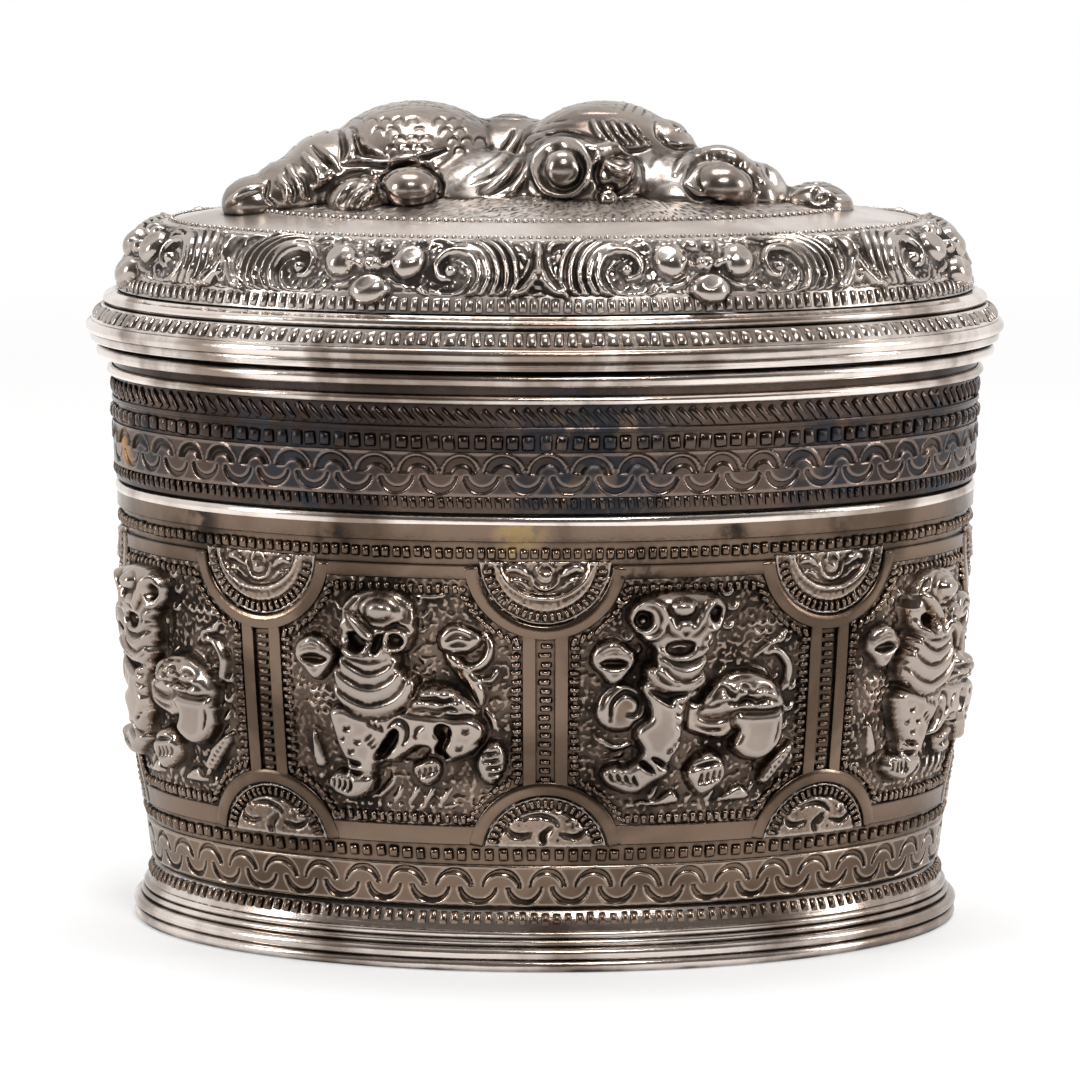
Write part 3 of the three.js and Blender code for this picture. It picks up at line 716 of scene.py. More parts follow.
waves = chased_band("wavy_band", WAVE_LOW, WAVE_HIGH, 34, BAND_STEPS, wall_inset, wavy_pattern)
done(waves, chased_wall, "body", "body_wall")

pegs = row(11.05, 1.36, 0.5, 0.6, 0.5)
pegs += row(40.05, 0.98, 0.4, 0.58, 0.5)
piece = bent(struck("wall_peg_rows", peg_punch, pegs))
done(piece, chased_wall, "body", "body_wall")

cove_pegs = laid(struck("foot_cove_pegs", peg_punch, row(1.15, 1.12, 0.4, 0.62, 0.34)), foot_cove)
done(cove_pegs, chased, "body", "foot_ring")

# The frame's bars and rings, cut from sheet, flat: one bar with a ring's half at each end
MEDALLION_RADIUS = 6.15
RING_RADIUS = 7.5
BAR_HALF = 2.15
SLOT_HALF = 0.86
BAR_REACH = 7.0
BAR_STEP = 0.03
RING_STEPS, BAR_CUTS = 56, 10
FRAME_LOW = WALL_BANDS[0][0] + 0.1
FRAME_HIGH = WALL_BANDS[1][1] - 0.1


def frame_bar():
    """A divider laid flat: two bars that run between two half rings."""
    soft, back = 0.13, 0.25
    pieces = []
    for level, way in ((MEDALLION_LOW, 1), (MEDALLION_HIGH, -1)):
        edge = FRAME_LOW if way > 0 else FRAME_HIGH
        start = math.asin(abs(edge - level) / RING_RADIUS)
        section = [(MEDALLION_RADIUS, back), (MEDALLION_RADIUS, soft - FRAME_PROUD),
                   (MEDALLION_RADIUS + soft, -FRAME_PROUD), (RING_RADIUS - soft, -FRAME_PROUD),
                   (RING_RADIUS, soft - FRAME_PROUD), (RING_RADIUS, back)]
        deselect()
        bpy.ops.mesh.primitive_circle_add(vertices=len(section), radius=1)
        ring = bpy.context.object
        set_corners(ring, [(radius * math.cos(start), depth, level + way * radius * math.sin(start))
                           for radius, depth in section])
        bpy.ops.object.mode_set(mode="EDIT")
        bpy.ops.mesh.select_all(action="SELECT")
        bpy.ops.mesh.spin(steps=RING_STEPS, angle=way * (math.pi - 2 * start), center=(0, 0, level),
                          axis=(0, 1, 0))
        bpy.ops.mesh.select_all(action="SELECT")
        bpy.ops.mesh.fill_holes(sides=0)
        bpy.ops.object.mode_set(mode="OBJECT")
        pieces.append(ring)
    low, high = MEDALLION_LOW + BAR_REACH, MEDALLION_HIGH - BAR_REACH
    for side in (-1, 1):
        deselect()
        middle = (side * (BAR_HALF + SLOT_HALF) / 2, (back - FRAME_PROUD + BAR_STEP) / 2, (low + high) / 2)
        bpy.ops.mesh.primitive_cube_add(size=1, location=middle)
        bar = bpy.context.object
        bar.dimensions = (BAR_HALF - SLOT_HALF, FRAME_PROUD - BAR_STEP + back, high - low)
        bpy.ops.object.transform_apply(location=True, rotation=True, scale=True)
        worked_over(bar, "BEVEL", width=soft)
        bpy.ops.object.mode_set(mode="EDIT")
        for i in range(1, BAR_CUTS):
            bpy.ops.mesh.select_all(action="SELECT")
            bpy.ops.mesh.bisect(plane_co=(0, 0, low + (high - low) * i / BAR_CUTS), plane_no=(0, 0, 1))
        bpy.ops.object.mode_set(mode="OBJECT")
        pieces.append(bar)
    divider = as_one(pieces)
    bpy.ops.object.mode_set(mode="EDIT")
    bpy.ops.mesh.select_all(action="SELECT")
    bpy.ops.mesh.normals_make_consistent(inside=False)
    bpy.ops.object.mode_set(mode="OBJECT")
    return divider


bar = frame_bar()
bars = bent(struck("panel_frame", bar, [(i * PITCH, 0, 0, 1, 1, 1) for i in range(PANELS)]))
only(bars)
worked_over(bars, "WEIGHTED_NORMAL", weight=100)
done(bars, chased_wall, "body", "body_wall")
bpy.data.objects.remove(bar)


# Chasing
# The figures are beaten up from behind and cut from the front. A flat stretch of sheet is worked
# as heights over a grid, in millimetres, and then bent to its place with its back closed.
SHEET_STEP = 0.15
OUTLINE_CUT = 0.32


def blank(along_low, along_high, low, high, step=SHEET_STEP):
    """A flat sheet: u is the way along and z the way up over a grid, and h is the height worked so far."""
    along, height = np.meshgrid(np.arange(along_low, along_high + step / 2, step),
                                np.arange(low, high + step / 2, step))
    return SimpleNamespace(u=along, z=height, h=np.zeros_like(along))


def near(sheet, line, margin):
    """The part of the grid that lies near a line."""
    rows, columns = sheet.u.shape
    step = sheet.u[0, 1] - sheet.u[0, 0]
    low = (line.min(axis=0) - margin - (sheet.u[0, 0], sheet.z[0, 0])) / step
    high = (line.max(axis=0) + margin - (sheet.u[0, 0], sheet.z[0, 0])) / step
    across = slice(max(0, int(low[0])), min(columns, int(high[0]) + 2))
    upward = slice(max(0, int(low[1])), min(rows, int(high[1]) + 2))
    return upward, across


def stroke(sheet, points, width, proud, closed=False):
    """Raises a rounded line along a smooth curve, or cuts one when proud is below zero."""
    line = smooth_line(points, 10, closed)
    window = near(sheet, line, width)
    u, z = sheet.u[window], sheet.z[window]
    if not u.size:
        return
    share = np.linspace(0, 1, len(line))
    taper = 0.35 + 0.65 * np.sin(math.pi * np.clip(share, 0.02, 0.98)) ** 0.6
    if closed:
        taper = np.ones(len(line))
    away = ((u[..., None] - line[:, 0]) ** 2 + (z[..., None] - line[:, 1]) ** 2) / (width * taper) ** 2
    nearest = away.argmin(axis=-1)
    away = np.take_along_axis(away, nearest[..., None], -1)[..., 0]
    if proud > 0:
        lump = proud * taper[nearest] * np.sqrt(np.clip(1 - away, 0, 1))
    else:
        lump = proud * taper[nearest] * np.clip(1 - np.sqrt(away), 0, 1) ** 0.7
    sheet.h[window] += lump


def area(sheet, outline):
    """The grid near a smooth outline: which part of it, how far from the line, and whether inside."""
    line = smooth_line(outline, 6, closed=True)
    window = near(sheet, line, 0.5)
    u, z = sheet.u[window], sheet.z[window]
    away = np.sqrt(((u[..., None] - line[:, 0]) ** 2 + (z[..., None] - line[:, 1]) ** 2).min(axis=-1))
    inside = np.zeros(u.shape, dtype=bool)
    for (u1, z1), (u2, z2) in zip(line, np.roll(line, -1, axis=0)):
        if z1 != z2:
            crosses = (z1 > z) != (z2 > z)
            inside ^= crosses & (u < u1 + (z - z1) * (u2 - u1) / (z2 - z1))
    return window, away, inside


def pillow(sheet, outline, proud, edge=0.8, cut=OUTLINE_CUT):
    """Beats up the area inside a smooth outline, rounded down to its edge, with a line cut round it."""
    window, away, inside = area(sheet, outline)
    rise = np.clip(away / edge, 0, 1)
    lump = proud * (0.25 + 0.75 * np.sqrt(1 - (1 - rise) ** 2))
    height = sheet.h[window]
    height = np.where(inside, np.maximum(height, lump), height)
    sheet.h[window] = height - np.where(inside, 0, cut * np.clip(1 - away / 0.4, 0, 1))


def gouged(sheet, outline, floor=0.0):
    """Cuts the area inside a smooth outline down to a floor, with steep sides."""
    window, away, inside = area(sheet, outline)
    height = sheet.h[window]
    sheet.h[window] = height + (np.minimum(height, floor) - height) * np.clip(away / 0.3, 0, 1) * inside


def swell(sheet, u, z, wide, tall, proud, turn=0.0, fullness=0.5):
    """Adds a rounded lump on top of what is there, flatter on top where it is fuller."""
    du, dz = sheet.u - u, sheet.z - z
    across = (du * math.cos(turn) + dz * math.sin(turn)) / wide
    upward = (dz * math.cos(turn) - du * math.sin(turn)) / tall
    sheet.h += proud * np.clip(1 - across ** 2 - upward ** 2, 0, 1) ** fullness


def swells(sheet, *lumps):
    """Several rounded lumps: each is (along, height, half width, half height, proud)."""
    for lump in lumps:
        swell(sheet, *lump)


def ringed(sheet, u, z, radius, width, proud):
    """A closed ring, raised or cut."""
    turns = [2 * math.pi * i / 8 for i in range(8)]
    stroke(sheet, [(u + radius * math.cos(a), z + radius * math.sin(a)) for a in turns], width, proud,
           closed=True)


def hatched(sheet, first, last, count, along, width, proud):
    """A row of short lines between two places, each as long as along says."""
    for i in range(count):
        share = i / max(1, count - 1)
        u = first[0] + (last[0] - first[0]) * share
        z = first[1] + (last[1] - first[1]) * share
        middle = (u + along[0] * 0.5 + along[1] * 0.12, z + along[1] * 0.5 - along[0] * 0.12)
        stroke(sheet, [(u, z), middle, (u + along[0], z + along[1])], width, proud)


def curls(sheet, spots, size, width, proud):
    """Small U-shaped locks of hair."""
    for u, z in spots:
        arc = [(u + size * math.cos(a), z + size * math.sin(a)) for a in (0.3, -0.7, -1.6, -2.5, -3.4)]
        stroke(sheet, arc, width, proud)


def matted(sheet, seed, depth=0.055, above=0.25):
    """Stipples the ground with the matting punch, and leaves the figures smooth."""
    noise = np.random.default_rng(seed).normal(0, 1, sheet.u.shape)
    noise = (noise + np.roll(noise, 1, 0) + np.roll(noise, 1, 1) + np.roll(noise, (1, 1), (0, 1))) / 2
    sheet.h += depth * noise * np.clip(1 - sheet.h / above, 0, 1)


def eased_sheet(sheet):
    """Rubs the sheet over once, so that no tool mark ends in a sharp step."""
    padded = np.pad(sheet.h, 1, mode="edge")
    middle = padded[1:-1] * 2 + padded[:-2] + padded[2:]
    sheet.h = (middle[:, 1:-1] * 2 + middle[:, :-2] + middle[:, 2:]) / 16
    return sheet


def plate(name, sheet, back=-0.4):
    """The worked sheet as a closed flat piece, standing out along -y."""
    rows, columns = sheet.u.shape
    deselect()
    bpy.ops.mesh.primitive_grid_add(x_subdivisions=columns - 1, y_subdivisions=rows - 1, size=1,
                                    rotation=(math.pi / 2, 0, 0))
    piece = bpy.context.object
    piece.name = name
    bpy.ops.object.transform_apply(location=True, rotation=True, scale=True)
    worked = np.column_stack([sheet.u.ravel(), -sheet.h.ravel(), sheet.z.ravel()]) * MM
    set_corners(piece, worked)
    bpy.ops.object.mode_set(mode="EDIT")
    bpy.ops.mesh.select_mode(type="EDGE")
    bpy.ops.mesh.select_all(action="DESELECT")
    bpy.ops.mesh.select_non_manifold()
    bpy.ops.mesh.extrude_edges_move()
    bpy.ops.object.mode_set(mode="OBJECT")
    corners = corners_of(piece)
    corners[rows * columns:, 1] = -back * MM
    set_corners(piece, corners)
    ends = np.empty(len(piece.data.edges) * 2, dtype=np.int32)
    piece.data.edges.foreach_get("vertices", ends)
    ends = ends.reshape(-1, 2)
    level = corners[:, 2]
    behind = (ends >= rows * columns).all(axis=1)
    bottom = (np.abs(level[ends] - level.min()) < 1e-7).all(axis=1)
    top = (np.abs(level[ends] - level.max()) < 1e-7).all(axis=1)
    piece.data.vertices.foreach_set("select", np.zeros(len(corners), dtype=bool))
    piece.data.edges.foreach_set("select", behind & (bottom | top))
    bpy.ops.object.mode_set(mode="EDIT")
    bpy.ops.mesh.bridge_edge_loops()
    bpy.ops.mesh.select_all(action="SELECT")
    bpy.ops.mesh.fill_holes(sides=0)
    bpy.ops.mesh.select_all(action="SELECT")
    bpy.ops.mesh.normals_make_consistent(inside=False)
    bpy.ops.object.mode_set(mode="OBJECT")
    bpy.ops.object.shade_smooth()
    return piece


# Panels
# Eight chased panels, each with a lion that steps over grass, on a matted ground. Every other lion
# looks out of the panel, and the rest walk to the left with their necks in collars.
PANEL_HALF = 11.3
PANEL_LOW, PANEL_HIGH = 13.7, 37.8
PANEL_LIFT = 0.16 * MM
BORDER_LOW, BORDER_HIGH = 14.55, 36.65
BORDER_FROM_BAR = 2.72
BORDER_ROUND_RING = 8.15
BORDER_PITCH, BORDER_GAP = 0.78, 0.6
BORDER_PEG = (0.55, 0.26, 0.5)
BORDER_ROW_PITCH, BORDER_ROW_PEG = 0.8, (0.55, 0.27, 0.5)
DIVIDER_LOW, DIVIDER_END_GAP = 17.6, 0.3
DIVIDER_PEGS, DIVIDER_PEG = 19, (0.6, 0.27, 0.48)


def grass_and_ground(sheet, low, left, right):
    """A low bank under the lion with six blades of grass on it."""
    stroke(sheet, [(left - 0.7, low + 0.5), (left, low), (right, low), (right + 0.9, low + 0.9)], 0.22, 0.4)
    for i in range(6):
        u = left + 0.8 + (right - left - 1.4) * i / 5
        stroke(sheet, [(u, low + 0.2), (u + 0.5, low + 1.0), (u + 0.9 + 0.2 * (i % 2), low + 1.9)], 0.3,
               0.4)


def raised_wing(sheet, u, z):
    """The raised forepaw: a fringe arched over a slot, and a plain point below."""
    pillow(sheet, [(u - 2.2, z - 0.1), (u - 1.9, z + 1.3), (u - 0.5, z + 2.1), (u + 1.0, z + 1.6),
           (u + 2.0, z + 0.3), (u + 1.5, z - 0.8), (u + 0.4, z - 2.1), (u - 0.4, z - 2.2),
           (u - 1.4, z - 1.1)], 1.25, 0.6)
    for i in range(4):
        lift = 0.42 * i
        stroke(sheet, [(u - 1.8 + 0.2 * i, z + 0.1 + lift), (u - 0.1, z + 0.65 + lift),
               (u + 1.6 - 0.25 * i, z + 0.1 + lift)], 0.15, 0.35)
    gouged(sheet, [(u - 1.6, z - 0.2), (u - 0.2, z + 0.3), (u + 1.3, z - 0.2), (u - 0.1, z - 0.7)], 0.35)


def paw(sheet, outline, proud, claws, along):
    """A paw with a row of claws: claws gives the first and last one's place, and how many there are."""
    pillow(sheet, outline, proud, 0.85)
    first, last, count = claws
    hatched(sheet, first, last, count, along, 0.17, -0.95)


def scaled_patch(sheet, u, z, columns, rows, pitch, slant=0.0):
    """Rows of small overlapping scales."""
    for i in range(rows):
        level = z - i * pitch * 0.8
        places = [(u + (j + 0.5 * (i % 2)) * pitch + slant * i, level) for j in range(columns)]
        curls(sheet, places, pitch * 0.45, 0.14, 0.28)


def lion_in_profile(sheet):
    """The lion that walks to the left with its neck in collars."""
    grass_and_ground(sheet, 15.75, -4.6, 4.4)
    stroke(sheet, [(-4.6, 16.3), (-1.8, 16.9), (-0.5, 18.5)], 0.4, 0.45)
    scaled_patch(sheet, -8.5, 26.6, 3, 4, 0.85)
    pillow(sheet, [(-8.7, 22.4), (-7.9, 21.2), (-7.4, 19.3), (-8.5, 19.3)], 0.6, 0.5)
    raised_wing(sheet, -7.7, 29.8)
    # Tail and hind feet
    stroke(sheet, [(7.7, 25.2), (7.7, 27.0), (6.5, 28.7), (5.3, 30.1), (4.6, 31.4)], 0.75, 1.0)
    pillow(sheet, [(4.2, 31.0), (4.1, 32.4), (5.3, 33.4), (7.0, 33.1), (8.1, 32.1), (7.3, 31.0),
           (5.9, 30.6)], 1.15, 0.9)
    stroke(sheet, [(4.9, 32.0), (5.9, 32.5), (7.2, 32.1)], 0.2, -0.5)
    stroke(sheet, [(5.0, 31.3), (6.0, 31.6), (6.9, 31.4)], 0.18, -0.45)
    stroke(sheet, [(7.0, 26.6), (6.6, 28.0), (5.6, 29.4)], 0.2, -0.55)
    stroke(sheet, [(6.2, 29.6), (7.4, 29.3), (8.4, 30.0), (8.8, 31.2), (8.4, 32.4)], 0.5, 0.85)
    stroke(sheet, [(7.6, 28.2), (8.8, 28.1), (9.4, 29.0)], 0.35, 0.6)
    stroke(sheet, [(8.2, 25.4), (8.9, 24.4), (9.3, 23.2)], 0.3, 0.5)
    paw(sheet, [(7.4, 20.4), (8.3, 21.9), (9.5, 22.3), (10.2, 21), (9.9, 19.2), (8.9, 18.1), (7.8, 18.7)],
        1.45, ((7.9, 21.2), (8.9, 18.6), 5), (1.5, 0.15))
    paw(sheet, [(1.3, 19.6), (2.1, 20.5), (3.5, 20.7), (4.1, 19.8), (3.7, 18.4), (2.7, 17.8), (1.8, 18.4)],
        1.6, ((1.9, 18.6), (3.4, 19.0), 4), (0.3, 1.05))
    # Back, beaten into lumps
    pillow(sheet, [(0.7, 24.8), (1.4, 26.6), (2.9, 27.7), (4.8, 27.8), (6.5, 26.8), (7.9, 24.9),
           (5.4, 24.4), (3.2, 24.4)], 2.2, 1.4)
    swells(sheet, (3.2, 27.0, 0.85, 0.55, 0.5), (4.8, 27.0, 0.8, 0.6, 0.5), (6.1, 26.2, 0.7, 0.6, 0.4),
           (2.2, 26.0, 0.7, 0.5, 0.35), (3.9, 25.9, 0.9, 0.4, 0.35), (5.6, 25.2, 0.8, 0.4, 0.3))
    stroke(sheet, [(1.5, 26.6), (2.6, 26.4), (3.7, 26.5), (4.7, 26.2), (5.6, 26.4), (6.4, 25.6)], 0.24,
           -0.7)
    stroke(sheet, [(1.4, 25.3), (2.8, 25.4), (4.2, 25.2), (5.2, 25.6), (6.8, 25.2)], 0.24, -0.7)
    # Chest, foreleg, belly and haunch are one plain, flat where it is not cut away
    pillow(sheet, [(-6.3, 24.9), (-4.2, 25.4), (-1.5, 25.3), (1.2, 25.1), (3.4, 24.9), (5.4, 24.7),
           (7.2, 24.7), (8.3, 23.8), (8.1, 22.3), (7.0, 21.1), (5.8, 20.6), (4.7, 20.2), (3.7, 20.8),
           (2.4, 20.6), (1.0, 20.0), (-0.6, 20.1), (-1.9, 19.8), (-2.4, 18.6), (-4.8, 18.5), (-4.9, 19.8),
           (-5.5, 21.2), (-6.0, 22.8)], 2.0, 0.7)
    gouged(sheet, [(-2.1, 20.4), (-1.6, 21.4), (-0.9, 22.4), (-0.1, 23.4), (0.4, 23.0), (0.1, 21.9),
           (-0.7, 20.8), (-1.5, 20.1)])
    gouged(sheet, [(0.0, 20.2), (1.0, 21.2), (2.2, 21.9), (3.4, 21.6), (2.8, 20.5), (1.6, 19.8)])
    gouged(sheet, [(4.2, 24.0), (5.2, 23.6), (5.1, 22.4), (4.7, 21.5), (5.2, 20.7), (4.2, 20.6),
           (3.7, 21.5), (4.1, 22.4), (3.7, 23.2)])
    stroke(sheet, [(-0.5, 23.6), (0.3, 24.3), (1.1, 23.8), (1.2, 22.8), (0.8, 22.0)], 0.24, -0.8)
    stroke(sheet, [(2.0, 22.6), (2.1, 23.4), (2.8, 23.8)], 0.18, -0.6)
    hatched(sheet, (-2.8, 22.3), (-1.9, 21.2), 4, (0.7, 0.5), 0.15, -0.55)
    hatched(sheet, (-2.4, 24.2), (-1.3, 23.8), 3, (0.35, -0.6), 0.14, -0.5)
    stroke(sheet, [(-4.7, 20.2), (-4.0, 19.9), (-3.3, 19.8)], 0.26, -1.1)
    stroke(sheet, [(-4.7, 19.2), (-4.0, 18.9), (-3.3, 18.9)], 0.26, -1.1)
    curls(sheet, [(-5.1, 22.3), (-3.5, 22.2), (-4.5, 23.4), (-4.2, 21.2), (6.0, 21.9), (6.6, 23.6)], 0.26,
          0.13, -0.5)
    stroke(sheet, [(7.2, 21.9), (8.3, 22.6), (9.0, 22.6)], 0.26, -0.7)
    paw(sheet, [(-6.7, 18.3), (-5.8, 19.0), (-4.6, 18.8), (-3.0, 18.9), (-2.1, 18.4), (-2.6, 17.1),
        (-4.3, 16.2), (-5.9, 16.6), (-6.8, 17.4)], 1.95, ((-6.3, 17.2), (-4.7, 17.0), 4), (0.15, 1.3))
    # Four collars round the neck, the lowest the widest
    pillow(sheet, [(-5.8, 26.7), (-4.7, 25.2), (-2.2, 24.4), (0.6, 25.1), (2.1, 27.0), (1.4, 28.6),
           (-5.0, 28.6)], 2.35, 0.8, 0.5)
    pillow(sheet, [(-5.5, 27.9), (-4.2, 26.5), (-2.2, 25.8), (-0.1, 26.5), (1.0, 28.1), (0.4, 29.4),
           (-4.9, 29.4)], 2.55, 0.55, 0.6)
    pillow(sheet, [(-4.9, 29.2), (-3.7, 28.0), (-2.1, 27.5), (-0.5, 28.1), (0.5, 29.3), (0.2, 30.6),
           (-4.4, 30.5)], 2.7, 0.5, 0.6)
    pillow(sheet, [(-4.4, 30.4), (-3.3, 29.4), (-2.0, 28.9), (-0.6, 29.4), (0.3, 30.4), (0.0, 31.6),
           (-4.0, 31.6)], 2.8, 0.5, 0.6)
    # Head: a face that looks down to the left, an eye behind it, and a bald crown
    pillow(sheet, [(-5.0, 32.4), (-4.9, 34.2), (-4.0, 35.7), (-2.4, 36.5), (0.2, 36.5), (1.7, 35.4),
           (2.1, 33.6), (1.9, 31.9), (0.9, 30.6), (-1.2, 30.1), (-3.0, 30.1), (-4.6, 31.0)], 2.2, 1.3)
    pillow(sheet, [(-2.8, 34.0), (-2.7, 35.2), (-1.7, 36.1), (-0.3, 36.1), (0.8, 35.3), (1.1, 34.2),
           (0.2, 33.4), (-1.2, 33.1), (-2.3, 33.3)], 2.5, 1.0, 0.5)
    swell(sheet, -1.0, 34.8, 1.15, 0.95, 0.7)
    stroke(sheet, [(1.1, 35.6), (1.6, 34.6), (1.5, 33.6)], 0.2, -0.6)
    stroke(sheet, [(-4.3, 34.6), (-3.6, 35.4), (-3.0, 35.8)], 0.22, -0.7)
    pillow(sheet, [(-4.2, 34.5), (-3.1, 34.2), (-2.0, 33.0), (-1.4, 31.8), (-2.4, 31.8), (-3.4, 32.9)],
           2.95, 0.4)
    gouged(sheet, [(-4.2, 32.3), (-3.4, 32.5), (-2.3, 31.6), (-2.7, 30.8), (-3.6, 30.9)], 0.8)
    stroke(sheet, [(-5.0, 32.4), (-4.6, 31.3), (-3.5, 30.4), (-2.2, 30.3)], 0.3, 0.65)
    gouged(sheet, [(-1.9, 31.1), (-1.3, 32.4), (-0.6, 32.4), (-0.8, 31.3), (-1.4, 30.5)], 1.4)
    ringed(sheet, 0.5, 31.9, 0.95, 0.26, 0.6)
    gouged(sheet, [(-0.2, 31.9), (0.3, 32.5), (1.1, 32.2), (0.9, 31.4), (0.2, 31.3)], 1.5)
    stroke(sheet, [(-3.2, 36.2), (-4.3, 35.5), (-4.9, 34.3)], 0.34, 0.6)
    stroke(sheet, [(0.2, 33.4), (1.0, 33.2), (1.7, 32.8)], 0.22, -0.7)
    curls(sheet, [(-5.0, 33.4), (-5.2, 34.8), (2.4, 33.0), (2.5, 34.4), (2.0, 35.6)], 0.42, 0.2, 0.5)
    stroke(sheet, [(1.8, 35.9), (3.4, 35.9), (4.6, 36.1)], 0.26, 0.55)


def lion_facing(sheet):
    """The lion that looks out of the panel over its long paw."""
    grass_and_ground(sheet, 15.85, -5.0, 6.0)
    pillow(sheet, [(-5.2, 16.1), (-3.4, 16.4), (-1.9, 17.4), (-1.1, 16.2), (-3, 15.9)], 0.75, 0.5)
    pillow(sheet, [(2.8, 16.2), (4.8, 17.5), (6.0, 16.3), (4.4, 16.0)], 0.75, 0.5)
    raised_wing(sheet, -7.5, 29.9)
    scaled_patch(sheet, 5.6, 33.2, 4, 3, 1.0, 0.3)
    # Tail with its tufts
    stroke(sheet, [(7.2, 25.5), (8.9, 26.7), (9.4, 28.6), (8.3, 30.2), (6.9, 30.0)], 0.5, 0.8)
    for i in range(4):
        stroke(sheet, [(6.0 + 0.75 * i, 29.7 + 0.35 * i), (6.6 + 0.7 * i, 30.5 + 0.35 * i),
               (7.4 + 0.6 * i, 31.3 + 0.35 * i)], 0.26, 0.6)
    curls(sheet, [(8.6, 24.3), (9.6, 25.0), (9.0, 23.2), (9.8, 27.0)], 0.5, 0.22, 0.5)
    # Belly, back beaten into lumps, and a plain haunch
    pillow(sheet, [(-0.8, 26.0), (1.5, 25.4), (4.4, 25.2), (4.3, 23.4), (2.9, 22.2), (1.0, 22.5),
           (-0.9, 23.4)], 1.35, 0.9)
    stroke(sheet, [(0.0, 23.6), (1.2, 23.2), (2.6, 23.2)], 0.2, -0.5)
    stroke(sheet, [(0.2, 24.4), (1.6, 24.0), (3.2, 24.1)], 0.18, -0.45)
    pillow(sheet, [(0.4, 24.8), (1.2, 26.9), (2.8, 28.3), (5.0, 28.6), (7.2, 27.8), (8.5, 26.3),
           (8.6, 24.8), (6.2, 24.3), (3.6, 24.5), (2.0, 24.3)], 2.1, 1.4)
    swells(sheet, (4.0, 26.9, 0.95, 0.55, 0.55), (5.7, 26.7, 0.8, 0.5, 0.4), (2.5, 26.1, 0.75, 0.5, 0.4),
           (4.8, 25.4, 0.9, 0.4, 0.35), (7.0, 26.3, 0.7, 0.6, 0.35), (6.7, 25.2, 0.8, 0.4, 0.3))
    stroke(sheet, [(1.3, 25.5), (2.6, 25.9), (3.6, 25.6), (4.6, 26.1), (5.7, 25.7), (6.8, 26.0),
           (8.0, 25.4)], 0.26, -0.75)
    stroke(sheet, [(1.2, 26.5), (2.4, 27.3), (3.3, 26.5), (4.3, 27.4), (5.0, 26.7), (6.2, 27.2),
           (7.2, 26.6)], 0.22, -0.6)
    stroke(sheet, [(2.4, 27.9), (3.9, 28.0), (5.6, 28.1)], 0.2, -0.5)
    stroke(sheet, [(0.0, 25.2), (1.5, 27.2), (3.0, 28.9)], 0.34, 0.7)
    stroke(sheet, [(5.6, 29.0), (6.8, 28.5), (7.7, 27.5), (8.3, 27.9)], 0.26, 0.5)
    pillow(sheet, [(3.9, 24.8), (5.4, 24.7), (7.2, 24.7), (8.5, 24.8), (8.6, 22.8), (8.2, 21.4),
           (6.8, 20.1), (5.1, 20.1), (3.6, 21.3), (4.1, 22.8), (3.6, 23.8)], 2.0, 0.7)
    stroke(sheet, [(8.0, 24.0), (7.9, 22.6), (7.5, 21.4)], 0.16, -0.6)
    pillow(sheet, [(6.6, 18.0), (7.3, 19.2), (8.9, 20.9), (9.8, 21.4), (9.9, 20.5), (8.7, 18.9),
           (7.3, 17.5)], 1.3, 0.45)
    hatched(sheet, (7.3, 18.3), (9.2, 20.6), 6, (0.35, -0.25), 0.14, -0.6)
    stroke(sheet, [(6.5, 18.4), (8.0, 20.2), (9.3, 21.7)], 0.3, 0.5)
    # Left forearm, curled up
    pillow(sheet, [(-9.2, 24.6), (-8.9, 26.4), (-7.4, 27.7), (-5.7, 27.4), (-4.6, 26.2), (-4.7, 24.4),
           (-6.2, 23.3), (-8.1, 23.4)], 1.15, 1.2)
    stroke(sheet, [(-7.9, 24.2), (-7.7, 26.0), (-6.5, 27.0), (-5.2, 26.2), (-5.4, 24.9), (-6.4, 24.9)], 0.3,
           -0.8)
    stroke(sheet, [(-8.8, 25.2), (-8.2, 26.6), (-7.0, 27.4)], 0.16, -0.45)
    stroke(sheet, [(-9.0, 22.4), (-7.4, 21.6), (-5.8, 21.9)], 0.3, 0.45)
    # Chest running down into the foreleg and the long paw
    pillow(sheet, [(-5.2, 27.4), (-4.5, 25.8), (-4.4, 24.6), (-5.4, 23.8), (-5.7, 22.8), (-5.0, 21.4),
           (-5.2, 20.4), (-2.9, 19.5), (-1.9, 20.8), (-1.2, 22.2), (-1.1, 24.0), (-0.8, 25.8), (0.3, 26.9),
           (-0.4, 28.0), (-2.6, 28.4), (-4.6, 28.3)], 2.1, 0.7)
    curls(sheet, [(-1.4, 26.1), (-1.6, 25.1), (-1.5, 24.1), (-0.8, 26.8)], 0.34, 0.15, -0.6)
    paw(sheet, [(-8.7, 19.5), (-7.5, 20.1), (-6.4, 19.9), (-5.1, 20.5), (-2.6, 19.9), (-2.4, 19.0),
        (-4.0, 18.1), (-5.4, 17.2), (-6.9, 17.4), (-8.5, 18.4)], 1.95, ((-8.0, 19.5), (-5.8, 19.1), 4),
        (0.5, -1.0))
    stroke(sheet, [(-5.2, 20.4), (-4.6, 19.9), (-3.8, 19.3)], 0.3, -1.2)
    stroke(sheet, [(-4.1, 20.8), (-3.4, 20.3), (-2.7, 19.8)], 0.3, -1.2)
    hatched(sheet, (-2.8, 21.4), (-1.8, 22.4), 3, (0.75, 0.35), 0.15, -0.6)
    # The other forepaw, held upright
    paw(sheet, [(-0.8, 19.1), (0.2, 20.6), (1.6, 21.1), (2.9, 20.2), (3.1, 18.6), (1.9, 17.2), (0.6, 16.8),
        (-0.3, 17.8)], 1.85, ((0.4, 18.0), (2.2, 18.3), 4), (0.3, 1.05))
    stroke(sheet, [(-0.2, 19.6), (1.2, 19.9), (2.7, 20.1)], 0.22, -0.9)
